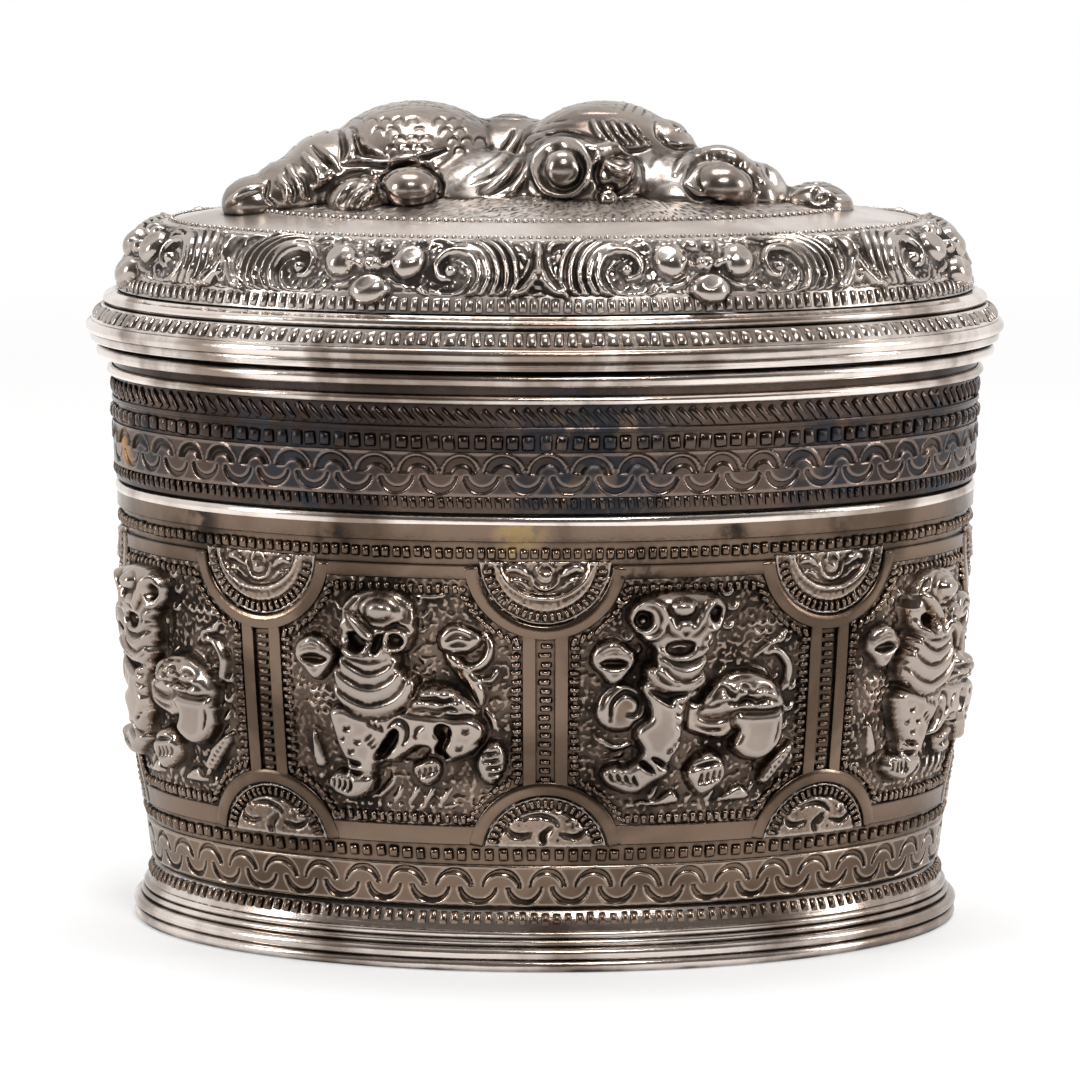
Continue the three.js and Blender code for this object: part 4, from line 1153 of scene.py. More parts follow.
    # Collar, chin and the face between its ears
    pillow(sheet, [(-4.9, 28.5), (-3.6, 27.4), (-1.6, 26.9), (0.4, 27.4), (0.8, 28.8), (-2, 29.4),
           (-4.6, 29.6)], 2.4, 0.6, 0.6)
    gouged(sheet, [(-4.9, 27.5), (-3.7, 26.5), (-2.3, 25.7), (-2.1, 26.3), (-1.0, 26.9), (-3.0, 27.0)], 1.1)
    pillow(sheet, [(-4.0, 30.4), (-3.5, 28.6), (-1.6, 27.8), (0.4, 28.4), (1.0, 30.2), (0.6, 31.6),
           (-3.6, 31.6)], 2.3, 0.7, 0.5)
    pillow(sheet, [(-6.4, 34.0), (-5.6, 35.6), (-3.9, 36.3), (-1.5, 36.6), (1.2, 36.3), (2.6, 35.2),
           (2.4, 33.5), (1.4, 32.0), (0.6, 30.6), (-1.5, 29.9), (-3.4, 30.6), (-5.0, 32.0)], 2.25, 1.4, 0.4)
    pillow(sheet, [(-3.3, 30.3), (-2.6, 28.9), (-1.2, 28.3), (0.2, 28.9), (0.8, 30.4), (-0.1, 29.9),
           (-1.3, 29.5), (-2.5, 29.8)], 2.6, 0.45)
    stroke(sheet, [(-3.7, 29.4), (-2.4, 28.0), (-0.7, 27.8), (0.6, 28.9)], 0.16, 0.4)
    swell(sheet, -1.6, 35.1, 1.1, 0.85, 0.85)
    gouged(sheet, [(-6.0, 34.1), (-5.4, 34.9), (-4.4, 34.6), (-4.2, 33.6), (-4.9, 32.9), (-5.8, 33.2)], 0.6)
    swell(sheet, -5.0, 33.8, 0.42, 0.42, 0.9)
    stroke(sheet, [(-6.3, 34.7), (-5.2, 35.7), (-3.9, 35.5), (-3.2, 34.3), (-3.5, 33.0)], 0.34, 0.65)
    stroke(sheet, [(-6.2, 33.0), (-5.3, 32.2), (-4.2, 32.3), (-3.4, 33.0)], 0.26, 0.55)
    stroke(sheet, [(-2.8, 34.4), (-2.5, 33.2), (-1.7, 32.4)], 0.36, 0.6)
    stroke(sheet, [(0.0, 34.6), (-0.3, 33.3), (-1.0, 32.5)], 0.36, 0.6)
    swell(sheet, -1.4, 33.3, 0.85, 0.6, 0.5)
    gouged(sheet, [(0.9, 34.3), (1.5, 35.2), (2.3, 34.7), (2.0, 33.7), (1.3, 33.5)], 0.8)
    stroke(sheet, [(0.2, 33.4), (0.5, 34.8), (1.4, 35.8), (2.5, 35.5)], 0.3, 0.55)
    stroke(sheet, [(0.8, 33.0), (1.8, 32.9), (2.7, 33.9)], 0.26, 0.5)
    gouged(sheet, [(-3.1, 31.6), (-1.8, 32.0), (-0.4, 31.7), (-0.6, 30.8), (-1.8, 30.4), (-2.9, 30.7)], 1.3)
    stroke(sheet, [(-2.7, 31.2), (-1.7, 31.4), (-0.7, 31.2)], 0.14, 0.35)
    ringed(sheet, 1.1, 31.6, 0.5, 0.22, 0.45)
    curls(sheet, [(-6.4, 32.4), (-6.7, 35.8), (3.2, 33.2), (3.6, 35.0), (3.0, 36.4), (-5.6, 31.2)], 0.5,
          0.22, 0.5)


def border_pegs(middle):
    """Pegs set square to the panel's edge: along its sides, and round the rings at its corners."""
    side = PITCH / 2 - BORDER_FROM_BAR
    start = math.asin((PITCH / 2 - side) / BORDER_ROUND_RING)
    places, arcs = [], []
    for ring, level in ((MEDALLION_HIGH, BORDER_HIGH), (MEDALLION_LOW, BORDER_LOW)):
        way = 1 if level > ring else -1
        end = math.acos(abs(level - ring) / BORDER_ROUND_RING)
        count = round(BORDER_ROUND_RING * (end - start) / BORDER_PITCH)
        arc = []
        for i in range(count + 1):
            turn = start + (end - start) * i / count
            u = PITCH / 2 - BORDER_ROUND_RING * math.sin(turn)
            z = ring + way * BORDER_ROUND_RING * math.cos(turn)
            arc.append((u, z))
            for face in (-1, 1):
                places.append(by_hand(middle + face * u, z, math.pi / 2 - face * way * turn, *BORDER_PEG))
        arcs.append(arc)
    upper, lower = arcs
    side_low = max(z for _, z in lower) + BORDER_GAP
    side_high = min(z for _, z in upper) - BORDER_GAP
    count = round((side_high - side_low) / BORDER_PITCH)
    for i in range(count + 1):
        level = side_low + (side_high - side_low) * i / count
        for face in (-1, 1):
            places.append(by_hand(middle + face * side, level, 0, *BORDER_PEG))
    for arc, level in ((upper, BORDER_HIGH), (lower, BORDER_LOW)):
        reach = min(u for u, _ in arc) - BORDER_GAP
        count = round(2 * reach / BORDER_ROW_PITCH)
        for i in range(count + 1):
            across = middle - reach + 2 * reach * i / count
            places.append(by_hand(across, level, math.pi / 2, *BORDER_ROW_PEG))
    return places


pegs = []
for i in range(PANELS):
    middle = (i + 0.5) * PITCH
    sheet = blank(-PANEL_HALF, PANEL_HALF, PANEL_LOW, PANEL_HIGH)
    if i % 2:
        lion_in_profile(sheet)
    else:
        lion_facing(sheet)
    sheet.h = np.maximum(sheet.h, 0)
    # Black lies all over the ground, and is rubbed off the highest plains
    height = sheet.h.ravel()
    sunk = 0.66 * np.clip(1 - height / 0.35, 0, 1) - 0.7 * np.clip((height - 1.3) / 0.6, 0, 1)
    matted(sheet, 100 + i, 0.085)
    panel = plate("lion_panel_%d" % (i + 1), eased_sheet(sheet))
    corners = corners_of(panel)
    corners[:, 0] += middle * MM
    set_corners(panel, corners)
    done(aged(bent(panel, lift=PANEL_LIFT), sunk=sunk), chased, "body", "body_wall")
    pegs += border_pegs(middle)
piece = bent(struck("panel_border_pegs", peg_punch, pegs), lift=PANEL_LIFT)
done(piece, chased, "body", "body_wall")

run = MEDALLION_HIGH - MEDALLION_RADIUS - DIVIDER_END_GAP - DIVIDER_LOW
pegs = []
for i in range(PANELS):
    for k in range(DIVIDER_PEGS):
        height = DIVIDER_LOW + run * k / (DIVIDER_PEGS - 1)
        pegs.append(by_hand(i * PITCH, height, 0, *DIVIDER_PEG))
piece = bent(struck("divider_pegs", peg_punch, pegs))
done(piece, chased, "body", "body_wall")


# Medallions
# Half rounds where the bars meet the bands: a rim, a ring of short strokes, and leaves inside.
MEDALLION_LOW_EDGE, MEDALLION_HIGH_EDGE = 11.95, 39.35
MEDALLION_SHEET, MEDALLION_STEP = 6.6, 0.12
STROKE_RING, RING_STROKES = 5.35, 25


def half_round(low, high, centre):
    """A flat half round within its rim, with a groove where the ring of strokes goes."""
    sheet = blank(-MEDALLION_SHEET, MEDALLION_SHEET, low, high, MEDALLION_STEP)
    away = np.hypot(sheet.u, sheet.z - centre)
    level = np.clip((MEDALLION_RADIUS - away) / 0.15, 0, 1)
    groove = np.clip(1 - np.abs(away - STROKE_RING) / 0.66, 0, 1) ** 0.4
    sheet.h = level * 0.75 - 0.42 * groove - 0.3
    return sheet


def leaves_below(sheet, base):
    """A smooth half round, cut with a leaf on its stem under two drooping leaves and an arch."""
    def cut(width, *points):
        stroke(sheet, [(u, base + v) for u, v in points], width, -0.5)

    cut(0.34, (-3.7, 2.0), (-3.3, 1.3), (-2.5, 1.05), (-1.3, 1.35))
    cut(0.3, (1.4, 1.35), (2.6, 1.0), (3.4, 1.2), (4.0, 1.8))
    cut(0.5, (0.0, 0.1), (-0.25, 1.0), (0.6, 1.9))
    cut(0.26, (-2.6, 2.7), (-1.4, 3.0), (-0.2, 3.0), (0.8, 2.6), (1.3, 2.1))
    stroke(sheet, [(-2.2, base + 3.1), (-0.3, base + 3.5), (1.2, base + 2.9)], 0.24, 0.18)
    dots = (-2.9, 2.6), (2.2, 2.3), (2.9, 2.6), (3.1, 1.9)
    swells(sheet, *((u, base + v, 0.3, 0.26, 0.2) for u, v in dots))


def leaves_above(sheet, base):
    """A hollow within a thin rim, with a bud hanging between two leaves."""
    away = np.hypot(sheet.u, sheet.z - base - 0.9)
    sheet.h -= 0.35 * np.clip((4.3 - away) / 0.3, 0, 1)
    stroke(sheet, [(-4.3, base - 0.5), (-3.5, base - 2.0), (-1.8, base - 3.2), (0, base - 3.5),
           (1.8, base - 3.2), (3.5, base - 2.0), (4.3, base - 0.5)], 0.26, 0.3)
    swell(sheet, 0, base - 1.5, 0.75, 0.7, 0.45)
    stroke(sheet, [(-1.3, base - 1.2), (-0.9, base - 2.2), (0, base - 2.6), (0.9, base - 2.2),
           (1.3, base - 1.2)], 0.22, 0.3)
    for face in (-1, 1):
        stroke(sheet, [(face * 3.5, base - 0.9), (face * 2.7, base - 0.6), (face * 1.6, base - 1.3)], 0.42,
               0.45)
        stroke(sheet, [(face * 3.0, base - 1.8), (face * 2.2, base - 1.9), (face * 1.5, base - 2.5)], 0.24,
               0.25)
        stroke(sheet, [(face * 0.4, base - 0.2), (face * 0.7, base - 0.7), (face * 0.5, base - 1.2)], 0.16,
               0.25)


lower = half_round(MEDALLION_LOW_EDGE, MEDALLION_LOW + MEDALLION_RADIUS + 0.3, MEDALLION_LOW)
leaves_below(lower, MEDALLION_LOW_EDGE)
upper = half_round(MEDALLION_HIGH - MEDALLION_RADIUS - 0.3, MEDALLION_HIGH_EDGE, MEDALLION_HIGH)
leaves_above(upper, MEDALLION_HIGH_EDGE)
for name, sheet in (("lower_medallions", lower), ("upper_medallions", upper)):
    matted(sheet, 31, 0.03, 5)
    sunk = 0.5 * np.clip(0.5 - 2.2 * sheet.h.ravel(), 0, 1)
    made = aged(plate(name + "_punch", eased_sheet(sheet), -0.5), 8, sunk=sunk)
    corners = corners_of(made)
    copies = []
    for i in range(PANELS):
        copy = made.copy()
        copy.data = made.data.copy()
        bpy.context.collection.objects.link(copy)
        moved = corners.copy()
        moved[:, 0] += i * PITCH * MM
        set_corners(copy, moved)
        copies.append(bent(copy))
    medallions = as_one(copies)
    medallions.name = name
    done(medallions, chased, "body", "body_wall")
    bpy.data.objects.remove(made)

pegs = []
for i in range(PANELS):
    for centre, way, edge in ((MEDALLION_LOW, 1, MEDALLION_LOW_EDGE),
                              (MEDALLION_HIGH, -1, MEDALLION_HIGH_EDGE)):
        for k in range(RING_STROKES):
            turn = math.pi * (k + 0.5) / RING_STROKES
            height = centre + way * STROKE_RING * math.sin(turn)
            if way * (height - edge) > 0.35:
                pegs.append(by_hand(i * PITCH + STROKE_RING * math.cos(turn), height,
                                    way * turn, 0.5, 0.22, 0.42, 0.03))
piece = bent(struck("medallion_strokes", peg_punch, pegs), lift=0.2 * MM)
done(piece, chased, "body", "body_wall")


# Wire round the wall's top edge
# A half-round wire, soldered on where the lid meets the wall.
WIRE_SEAT = 0.35 * MM
low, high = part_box("body_rim_wire")
edge = HALF_WIDTH - high[0]
outline = bulge(low[2], high[2], edge + WIRE_SEAT, WIRE_SEAT, 8)
outline += [(WALL_TOP_INSET + WALL_SHEET, high[2]), (WALL_TOP_INSET + WALL_SHEET, high[2] - 0.2 * MM),
            (WALL_TOP_INSET - 0.15 * MM, high[2] - 0.2 * MM)]
done(turned("wall_edge_wire", outline, uneven=0.05 * MM), bright, "body", "body_rim_wire")


# Lid skirt
# The lid's side: a fringe of ticks, a band of scallops over crescents, a row of pegs and a row of
# leaning cuts, with plain strips between them.
SKIRT_LOW, SKIRT_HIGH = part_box("lid_skirt")
SKIRT_FOOT, SKIRT_TOP = SKIRT_LOW[2], SKIRT_HIGH[2]
SKIRT_FOOT_INSET = 2.8 * MM
SKIRT_TOP_INSET = 2.5 * MM
LID_SHEET = 0.9 * MM
SKIRT_STRIPS = [(51.5, 52.0), (53.95, 54.25)]
STRIP_PROUD = 0.25
SCALLOPS = 56
SCALLOP_LOW, SCALLOP_HIGH = 45.45, 49.55
blue_black = (0.035, 0.036, 0.042)
orange = (0.42, 0.22, 0.08)
skirt_stains = spots(orange, [(-40.5, -9.0, 47.6, 3.2)]) + spots(blue_black, [
    (-24, -26, 48, 11), (4, -31.5, 48, 13), (27, -24, 48, 8), (38, -14, 48, 9), (-38, -13, 48, 5),
    (-30, 22, 48, 10), (8, 31, 48, 12)])
# The skirt's dark silver is partly its own tarnish and partly painted shade from the overhanging lip
skirt_tarnish_and_painted_shade = silver("skirt_silver_tarnish_and_painted_shade", (0.1, 0.071, 0.056), (0.042, 0.029, 0.024),
                      rub=(0.26, 0.2, 0.17), rough=(0.16, 0.3), stains=skirt_stains)


def skirt_inset(height):
    """How far in the skirt's face lies: it leans out a little to its top."""
    share = (height - SKIRT_FOOT) / (SKIRT_TOP - SKIRT_FOOT)
    return SKIRT_FOOT_INSET + (SKIRT_TOP_INSET - SKIRT_FOOT_INSET) * share


profile = [(skirt_inset(SKIRT_FOOT), SKIRT_FOOT)]
for low, high in SKIRT_STRIPS:
    profile += ledge(low, high, skirt_inset, STRIP_PROUD)
profile += [(SKIRT_TOP_INSET, SKIRT_TOP), (SKIRT_TOP_INSET + LID_SHEET, SKIRT_TOP),
            (SKIRT_FOOT_INSET + LID_SHEET, SKIRT_FOOT)]
skirt = turned("skirt_sheet", profile, uneven=0.05 * MM)
done(skirt, skirt_tarnish_and_painted_shade, "lid", "lid_skirt")


def scallop_pattern(along, height):
    """Broad moons under a thin raised rim, and finer crescents cut between them from below."""
    pitch = ROUND / MM / SCALLOPS
    swing = 0.1 * np.sin(along * 0.27 + 2) + 0.06 * np.sin(along * 0.9)
    moon = crescents(along + swing, height, pitch, 0.3, 49.3 + swing * 0.5, 1.9, 0.62, True, -0.35)
    cut = crescents(along + swing, height, pitch, 0.3 + pitch / 2, 45.75 + swing * 0.4, 1.85, 0.34, False,
                    -0.4)
    rim = crescents(along + swing, height, pitch, 0.3, 49.45 + swing * 0.5, 2.0, 0.16, True)
    return 0.2 + 0.12 * rim - 0.3 * np.maximum(0.7 * moon, cut)


scallops = chased_band("scallop_band", SCALLOP_LOW, SCALLOP_HIGH, 32, BAND_STEPS, skirt_inset,
                       scallop_pattern)
done(scallops, skirt_tarnish_and_painted_shade, "lid", "lid_skirt")

pegs = row(44.85, 0.86, 0.3, 0.58, 0.32, 0.12)
pegs += row(50.5, 1.45, 0.6, 0.72, 0.48)
pegs += row(52.95, 1.25, 0.34, 1.02, 0.36, 0.72)
piece = bent(struck("skirt_pegs", peg_punch, pegs), skirt_inset)
done(piece, skirt_tarnish_and_painted_shade, "lid", "lid_skirt")

# Two wires are soldered round its top
for node, name in (("rim_wire_lower", "lower_wire"), ("rim_wire_upper", "upper_wire")):
    low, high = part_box(node)
    edge = HALF_WIDTH - high[0]
    seat = SKIRT_TOP_INSET - 0.05 * MM
    round_part = min(seat - edge, 0.5 * MM)
    outline = [(seat, low[2])] + bulge(low[2], high[2], edge + round_part, round_part, 8)
    outline += [(seat, high[2])]
    done(turned(name, outline, uneven=0.05 * MM), bright, "lid", node)


# Lip
# The broad moulding over the skirt, drawn from thick strip and rubbed bright along its rolls. A row
# of beads lies on the slope between them.
LIP_FOOT, LIP_TOP = LIP_LOW[2], LIP_HIGH[2]
FASCIA_INSET = 0.45
lip_line = smooth_line([(2.4, 57.3), (1.3, 57.32), (FASCIA_INSET + 0.1, 57.4), (FASCIA_INSET, 57.7),
                        (FASCIA_INSET, 58.1)], 2)
lip_profile = [(inset * MM, height * MM) for inset, height in lip_line]
lip_profile += bulge(58.2 * MM, 59.42 * MM, 0.5 * MM, 0.5 * MM, 10)
slope_line = [(0.5 * MM, 59.5 * MM), (1.62 * MM, 60.95 * MM)]
lip_profile += slope_line
lip_profile += bulge(61.0 * MM, 61.98 * MM, 2.15 * MM, 0.5 * MM, 8)
lip_profile += [(2.5 * MM, LIP_TOP)]
inner = SKIRT_TOP_INSET + LID_SHEET
lip = turned("lip_moulding", [(inner, LIP_FOOT)] + lip_profile + [(inner, LIP_TOP)], uneven=0.09 * MM)
done(lip, bright, "lid", "rim_lip")

beads = laid(struck("lip_beads", peg_punch, row(0.92, 1.18, 0.47, 0.72, 0.3)), slope_line)
done(beads, lid_tone_and_painted_light, "lid", "rim_lip")


# Cover
# The raised top of the lid: a rounded shoulder and a low dome, with a plain border between them, a
# fringe of pegs round the foot and two rows of beads. The dome's ground is stippled.
COVER_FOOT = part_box("lid_cover")[0][2]
SHOULDER_POINTS = [(3.1, 0), (3.5, 1.32), (4.6, 3.83), (5.3, 5.0), (6.4, 5.95), (7.8, 6.6)]
SHOULDER_TOP = COVER_FOOT + SHOULDER_POINTS[-1][1] * MM
DOME_RISE = 4 * MM
DOME_POWER = 1.6
DOME_STEPS = 60
STIPPLE_FROM, STIPPLE_TO, STIPPLE_DEPTH = 0.05, 0.76, 0.06 * MM
STRUCK_APART = 20
shoulder = smooth_line([(inset * MM, COVER_FOOT + rise * MM) for inset, rise in SHOULDER_POINTS], 4)


def dome_height(x, y):
    """The dome's outside, in metres."""
    share = np.minimum(1, np.hypot(x / DOME_HALF_WIDTH, y / DOME_HALF_DEPTH))
    return SHOULDER_TOP + DOME_RISE * (1 - share ** DOME_POWER)


dome = []
for i in range(1, DOME_STEPS + 1):
    share = 1 - i / DOME_STEPS
    dome.append((HALF_WIDTH - share * DOME_HALF_WIDTH, float(dome_height(share * DOME_HALF_WIDTH, 0))))
inside = [(HALF_WIDTH, dome[-1][1] - LID_SHEET),
          (HALF_WIDTH - 0.5 * DOME_HALF_WIDTH, dome[DOME_STEPS // 2][1] - LID_SHEET),
          (DOME_INSET + 1 * MM, SHOULDER_TOP - LID_SHEET), (5.5 * MM, COVER_FOOT + 2.9 * MM),
          (SHOULDER_POINTS[0][0] * MM + LID_SHEET, COVER_FOOT)]
cover = turned("cover_sheet", [tuple(point) for point in shoulder] + dome + inside, 560)
corners = corners_of(cover)
share = np.hypot(corners[:, 0] / DOME_HALF_WIDTH, corners[:, 1] / DOME_HALF_DEPTH)
outside = corners[:, 2] > dome_height(corners[:, 0], corners[:, 1]) - 0.3 * MM
stipple = np.random.default_rng(4).normal(0, 1, len(corners))
stipple *= (share < STIPPLE_TO) * (share > STIPPLE_FROM) * outside
corners[:, 2] += STIPPLE_DEPTH * stipple
set_corners(cover, corners)
# The dome's paler silver is partly a greyer tone and partly painted light on the top of the lid
pale = silver("dome_silver_tone_and_painted_light", (0.68, 0.61, 0.56), (0.44, 0.38, 0.34), rough=(0.24, 0.4))
done(aged(cover, 4), pale, "lid", "lid_cover")

fringe = laid(struck("cover_fringe", peg_punch, row(0.85, 1.0, 0.38, 0.72, 0.36)), shoulder)
done(fringe, lid_tone_and_painted_light, "lid", "lid_cover")


def dome_row(name, share, pitch, size, proud):
    """A row of beads round the dome, at a share of its size."""
    turns = np.linspace(0, 2 * math.pi, 3601)
    x, y = share * DOME_HALF_WIDTH * np.cos(turns), share * DOME_HALF_DEPTH * np.sin(turns)
    way = np.concatenate([[0], np.cumsum(np.hypot(np.diff(x), np.diff(y)))])
    count = round(way[-1] / MM / pitch)
    at = np.interp(np.arange(count) * way[-1] / count, way, turns)
    beads = struck(name, bead_punch, [by_hand(STRUCK_APART * i, 0, 0, size, size, proud, 0.0)
                                      for i in range(count)])
    corners = corners_of(beads)
    which = np.repeat(np.arange(count), len(bead_punch.data.vertices))
    u, v, rise = corners[:, 0] - STRUCK_APART * MM * which, corners[:, 2], -corners[:, 1]
    turn = at[which]
    base_x = share * DOME_HALF_WIDTH * np.cos(turn) + u
    base_y = share * DOME_HALF_DEPTH * np.sin(turn) + v
    set_corners(beads, np.column_stack([base_x, base_y, dome_height(base_x, base_y) + rise]))
    done(beads, lid_tone_and_painted_light, "lid", "lid_cover")


dome_row("dome_beads", 0.79, 0.84, 0.36, 0.3)
dome_row("dome_edge_beads", 0.985, 0.8, 0.3, 0.26)


# Scroll band
# Round the shoulder run seven flowers of lobes, each between curled acanthus leaves, on a matted
# ground. The flowers' lowest lobes hang over the fringe.
REPEATS = 7
SCROLL_PITCH = ROUND / MM / REPEATS
SCROLL_LOW, SCROLL_HIGH = 0.3, 8.4
SCROLL_MIDDLE, SCROLL_STEP = 4.15, 0.145
SCROLL_SHIFT = 0.02


def flower(sheet, u, v, turn):
    """Four glossy lobes round a small bud, the lowest the largest."""
    for du, dv, wide, tall, proud in ((-3.3, 0.8, 1.65, 1.5, 1.35), (3.4, 0.8, 1.7, 1.5, 1.35),
                                      (-0.7, 2.7, 1.0, 0.8, 0.8), (0.9, 2.6, 0.9, 0.8, 0.7),
                                      (0.1, -2.0, 1.95, 1.6, 1.6)):
        ringed(sheet, u + du, v + dv, wide * 1.05, 0.3, -0.5)
        window = near(sheet, np.array([(u + du, v + dv)]), 2.4)
        lobe = SimpleNamespace(u=sheet.u[window], z=sheet.z[window], h=np.zeros(sheet.u[window].shape))
        swell(lobe, u + du, v + dv, wide, tall, proud, turn + 0.3 * du, 0.4)
        swell(lobe, u + du * 1.15, v + dv + 0.5, wide * 0.5, tall * 0.4, -0.25, 0.6 + turn)
        sheet.h[window] = np.maximum(sheet.h[window], lobe.h)
    swell(sheet, u, v + 0.5, 0.95, 0.85, 0.9)
    for du in (-0.5, 0.5):
        stroke(sheet, [(u + du * 0.3, v - 0.1), (u + du, v + 0.7), (u + du * 1.2, v + 1.5)], 0.22, 0.4)
    for face in (-1, 1):
        stroke(sheet, [(u + face * 1.0, v + 0.3), (u + face * 1.6, v + 0.7), (u + face * 2.2, v + 0.6)],
               0.4, 0.6)
        stroke(sheet, [(u + face * 1.5, v - 0.6), (u + face * 2.4, v - 1.3), (u + face * 3.8, v - 1.6)],
               0.24, 0.45)


def leaf_pair(sheet, u, v, face, slip):
    """A curl beside the flower, a fan of long ribs round the curl, and a hooked leaf beyond it."""
    def at(*points):
        return [(u + face * du, v + dv + slip) for du, dv in points]

    stroke(sheet, at((4.7, -1.6), (5.8, -2.7), (7.5, -3.1), (9.4, -2.3), (10.3, -0.6), (9.8, 1.1),
                     (8.5, 2.0), (6.9, 1.8), (6.1, 0.7), (6.5, -0.5), (7.5, -0.7)), 0.4, 0.8)
    stroke(sheet,
           at((5.5, -1.5), (6.4, -2.2), (7.7, -2.3), (8.9, -1.6), (9.4, -0.4), (8.8, 0.7), (7.9, 1.1)),
           0.16, 0.42)
    curl_u, curl_v = at((7.5, 0.1))[0]
    swell(sheet, curl_u, curl_v, 0.62, 0.58, 0.75)
    for k in range(4):
        radius = 3.8 + 0.86 * k
        arc = [(7.3 + radius * math.cos(a), -0.4 + radius * math.sin(a) * 0.86)
               for a in np.linspace(1.5 - 0.14 * k, -0.62 + 0.05 * k, 6)]
        stroke(sheet, at(*arc), 0.44 - 0.03 * k, 0.95 - 0.1 * k)
        cut = [(7.3 + (radius + 0.43) * math.cos(a), -0.4 + (radius + 0.43) * math.sin(a) * 0.86)
               for a in np.linspace(1.3 - 0.14 * k, -0.5 + 0.05 * k, 5)]
        stroke(sheet, at(*cut), 0.16, -0.3)
    stroke(sheet, at((10.6, -3.2), (12.4, -2.9), (14.2, -1.9), (15.4, -0.2), (15.9, 1.8), (15.6, 3.2)),
           0.44, 0.8)
    stroke(sheet, at((11.6, -2.3), (13.3, -1.6), (14.4, -0.2), (14.9, 1.4)), 0.2, 0.45)
    stroke(sheet, at((13.5, 3.5), (14.5, 3.0), (14.9, 2.1)), 0.3, 0.5)
    stroke(sheet, at((4.6, 3.3), (5.8, 3.6), (7.2, 3.3)), 0.26, 0.5)
    stroke(sheet, at((4.9, 2.3), (5.2, 3.0), (6.4, 2.9)), 0.2, 0.4)
    for du, dv in ((11.6, -1.0), (4.4, 4.0), (15.6, -2.6), (12.0, 3.9), (15.9, -1.2)):
        ring_u, ring_v = at((du, dv))[0]
        ringed(sheet, ring_u, ring_v, 0.42, 0.16, 0.3)


band = blank(-ROUND / MM / 2, ROUND / MM / 2, SCROLL_LOW, SCROLL_HIGH, SCROLL_STEP)
band.u = band.u * (ROUND / MM / 2) / -band.u[0, 0]
scroll_dice = np.random.default_rng(12)
for i in range(REPEATS + 1):
    middle = (i - REPEATS / 2 - SCROLL_SHIFT) * SCROLL_PITCH
    slips = scroll_dice.uniform(-0.15, 0.15, 3)
    for face in (-1, 1):
        leaf_pair(band, middle + slips[0], SCROLL_MIDDLE, face, slips[1])
    flower(band, middle + slips[0], SCROLL_MIDDLE + slips[1], slips[2])
# The band thins out towards the fringe and the dome's border, but the lobes hang over the fringe
ground = np.clip((band.z - 1.5) / 0.3, 0, 1) * np.clip((SCROLL_HIGH - band.z) / 0.25, 0, 1)
sunk = 0.62 * np.clip(1 - band.h / 0.4, 0, 1) * ground
matted(band, 51, 0.08, 0.4)
under_rim = np.clip((SCROLL_HIGH - band.z) / 0.25, 0, 1)
band.h = np.where(band.h > 0.75, band.h * under_rim, (band.h + 0.6) * ground - 0.5)
shoulder_line = smooth_line([(inset * MM, COVER_FOOT + rise * MM) for inset, rise in SHOULDER_POINTS], 12)
scroll = laid(plate("scroll_band", eased_sheet(band), -0.6), shoulder_line)
done(aged(scroll, sunk=sunk.ravel()), lid_tone_and_painted_light, "lid", "lid_cover")


# Beast
# A crouching beast beaten up from inside the dome: its rump and hind leg to the left, its broad head
# with round eyes and a snout to the right, and curled lobes beyond it. Its lumps are melted into one
# skin, and then its lines are chased as seen from the front, and its scales and hair from above.
# Its masses, and the balls set on them when those are melted: (x, y, top, wide, deep, half height) in mm
BEAST_MASSES = [(-12.6, 1.5, 80.5, 9.6, 10.0, 7.2), (-3.4, 2.5, 78.9, 9.0, 8.0, 7.0),
                (-6.0, -4.5, 76.0, 9.0, 7.6, 6.0), (-20.2, -1.0, 77.8, 6.2, 7.4, 5.4),
                (-24.2, -3.0, 75.3, 4.8, 5.6, 4.2), (-28.0, -4.6, 73.6, 3.5, 4.2, 2.8),
                (-17.6, -9.2, 73.8, 3.6, 3.8, 3.0), (5.7, -0.5, 80.6, 9.2, 9.2, 7.8),
                (3.6, -6.0, 77.6, 7.2, 6.8, 5.8), (11.6, -2.0, 78.9, 3.5, 4.4, 4.4),
                (12.4, -4.0, 75.9, 6.4, 7.6, 5.2), (16.8, -3.8, 76.5, 4.4, 6.6, 5.0),
                (20.4, -2.8, 74.8, 3.4, 5.0, 3.8), (26.4, -2.8, 72.9, 3.8, 4.2, 2.8),
                (-7.4, 12.6, 74.4, 5.2, 4.0, 3.4), (7.4, 12.8, 74.0, 7.0, 3.6, 3.2)]
BEAST_BALLS = [(-13.0, -11.4, 74.8, 2.8, 3.2, 2.0), (1.65, -10.9, 76.4, 1.85, 1.6, 1.85),
               (6.9, -10.6, 75.5, 1.8, 1.5, 1.6), (6.0, -12.9, 72.7, 0.95, 0.9, 0.95),
               (17.0, -8.0, 75.0, 3.1, 3.0, 2.3)]
BEAST_SINK = 0.4 * MM
BEAST_VOXEL = 0.2 * MM
BEAST_FRONT = -8.0
BEAST_LEFT, BEAST_RIGHT = -33, 28


def arches(sheet, left, right, low, high, pitch, depth, shape):
    """Rows of overlapping scales, each an arch, some worn away, and shifted by half from row to row."""
    worn = np.random.default_rng(19)
    for i in range(int((high - low) / (pitch * 0.72)) + 1):
        v = low + i * pitch * 0.72
        for j in range(int((right - left) / pitch) + 1):
            u = left + (j + 0.5 * (i % 2)) * pitch
            if shape(u, v) and worn.random() < 0.7:
                arc = [(u + pitch * 0.46 * math.cos(a), v + pitch * 0.5 * math.sin(a))
                       for a in (-0.2, 0.8, 1.57, 2.34, 3.34)]
                stroke(sheet, arc, 0.17, depth)


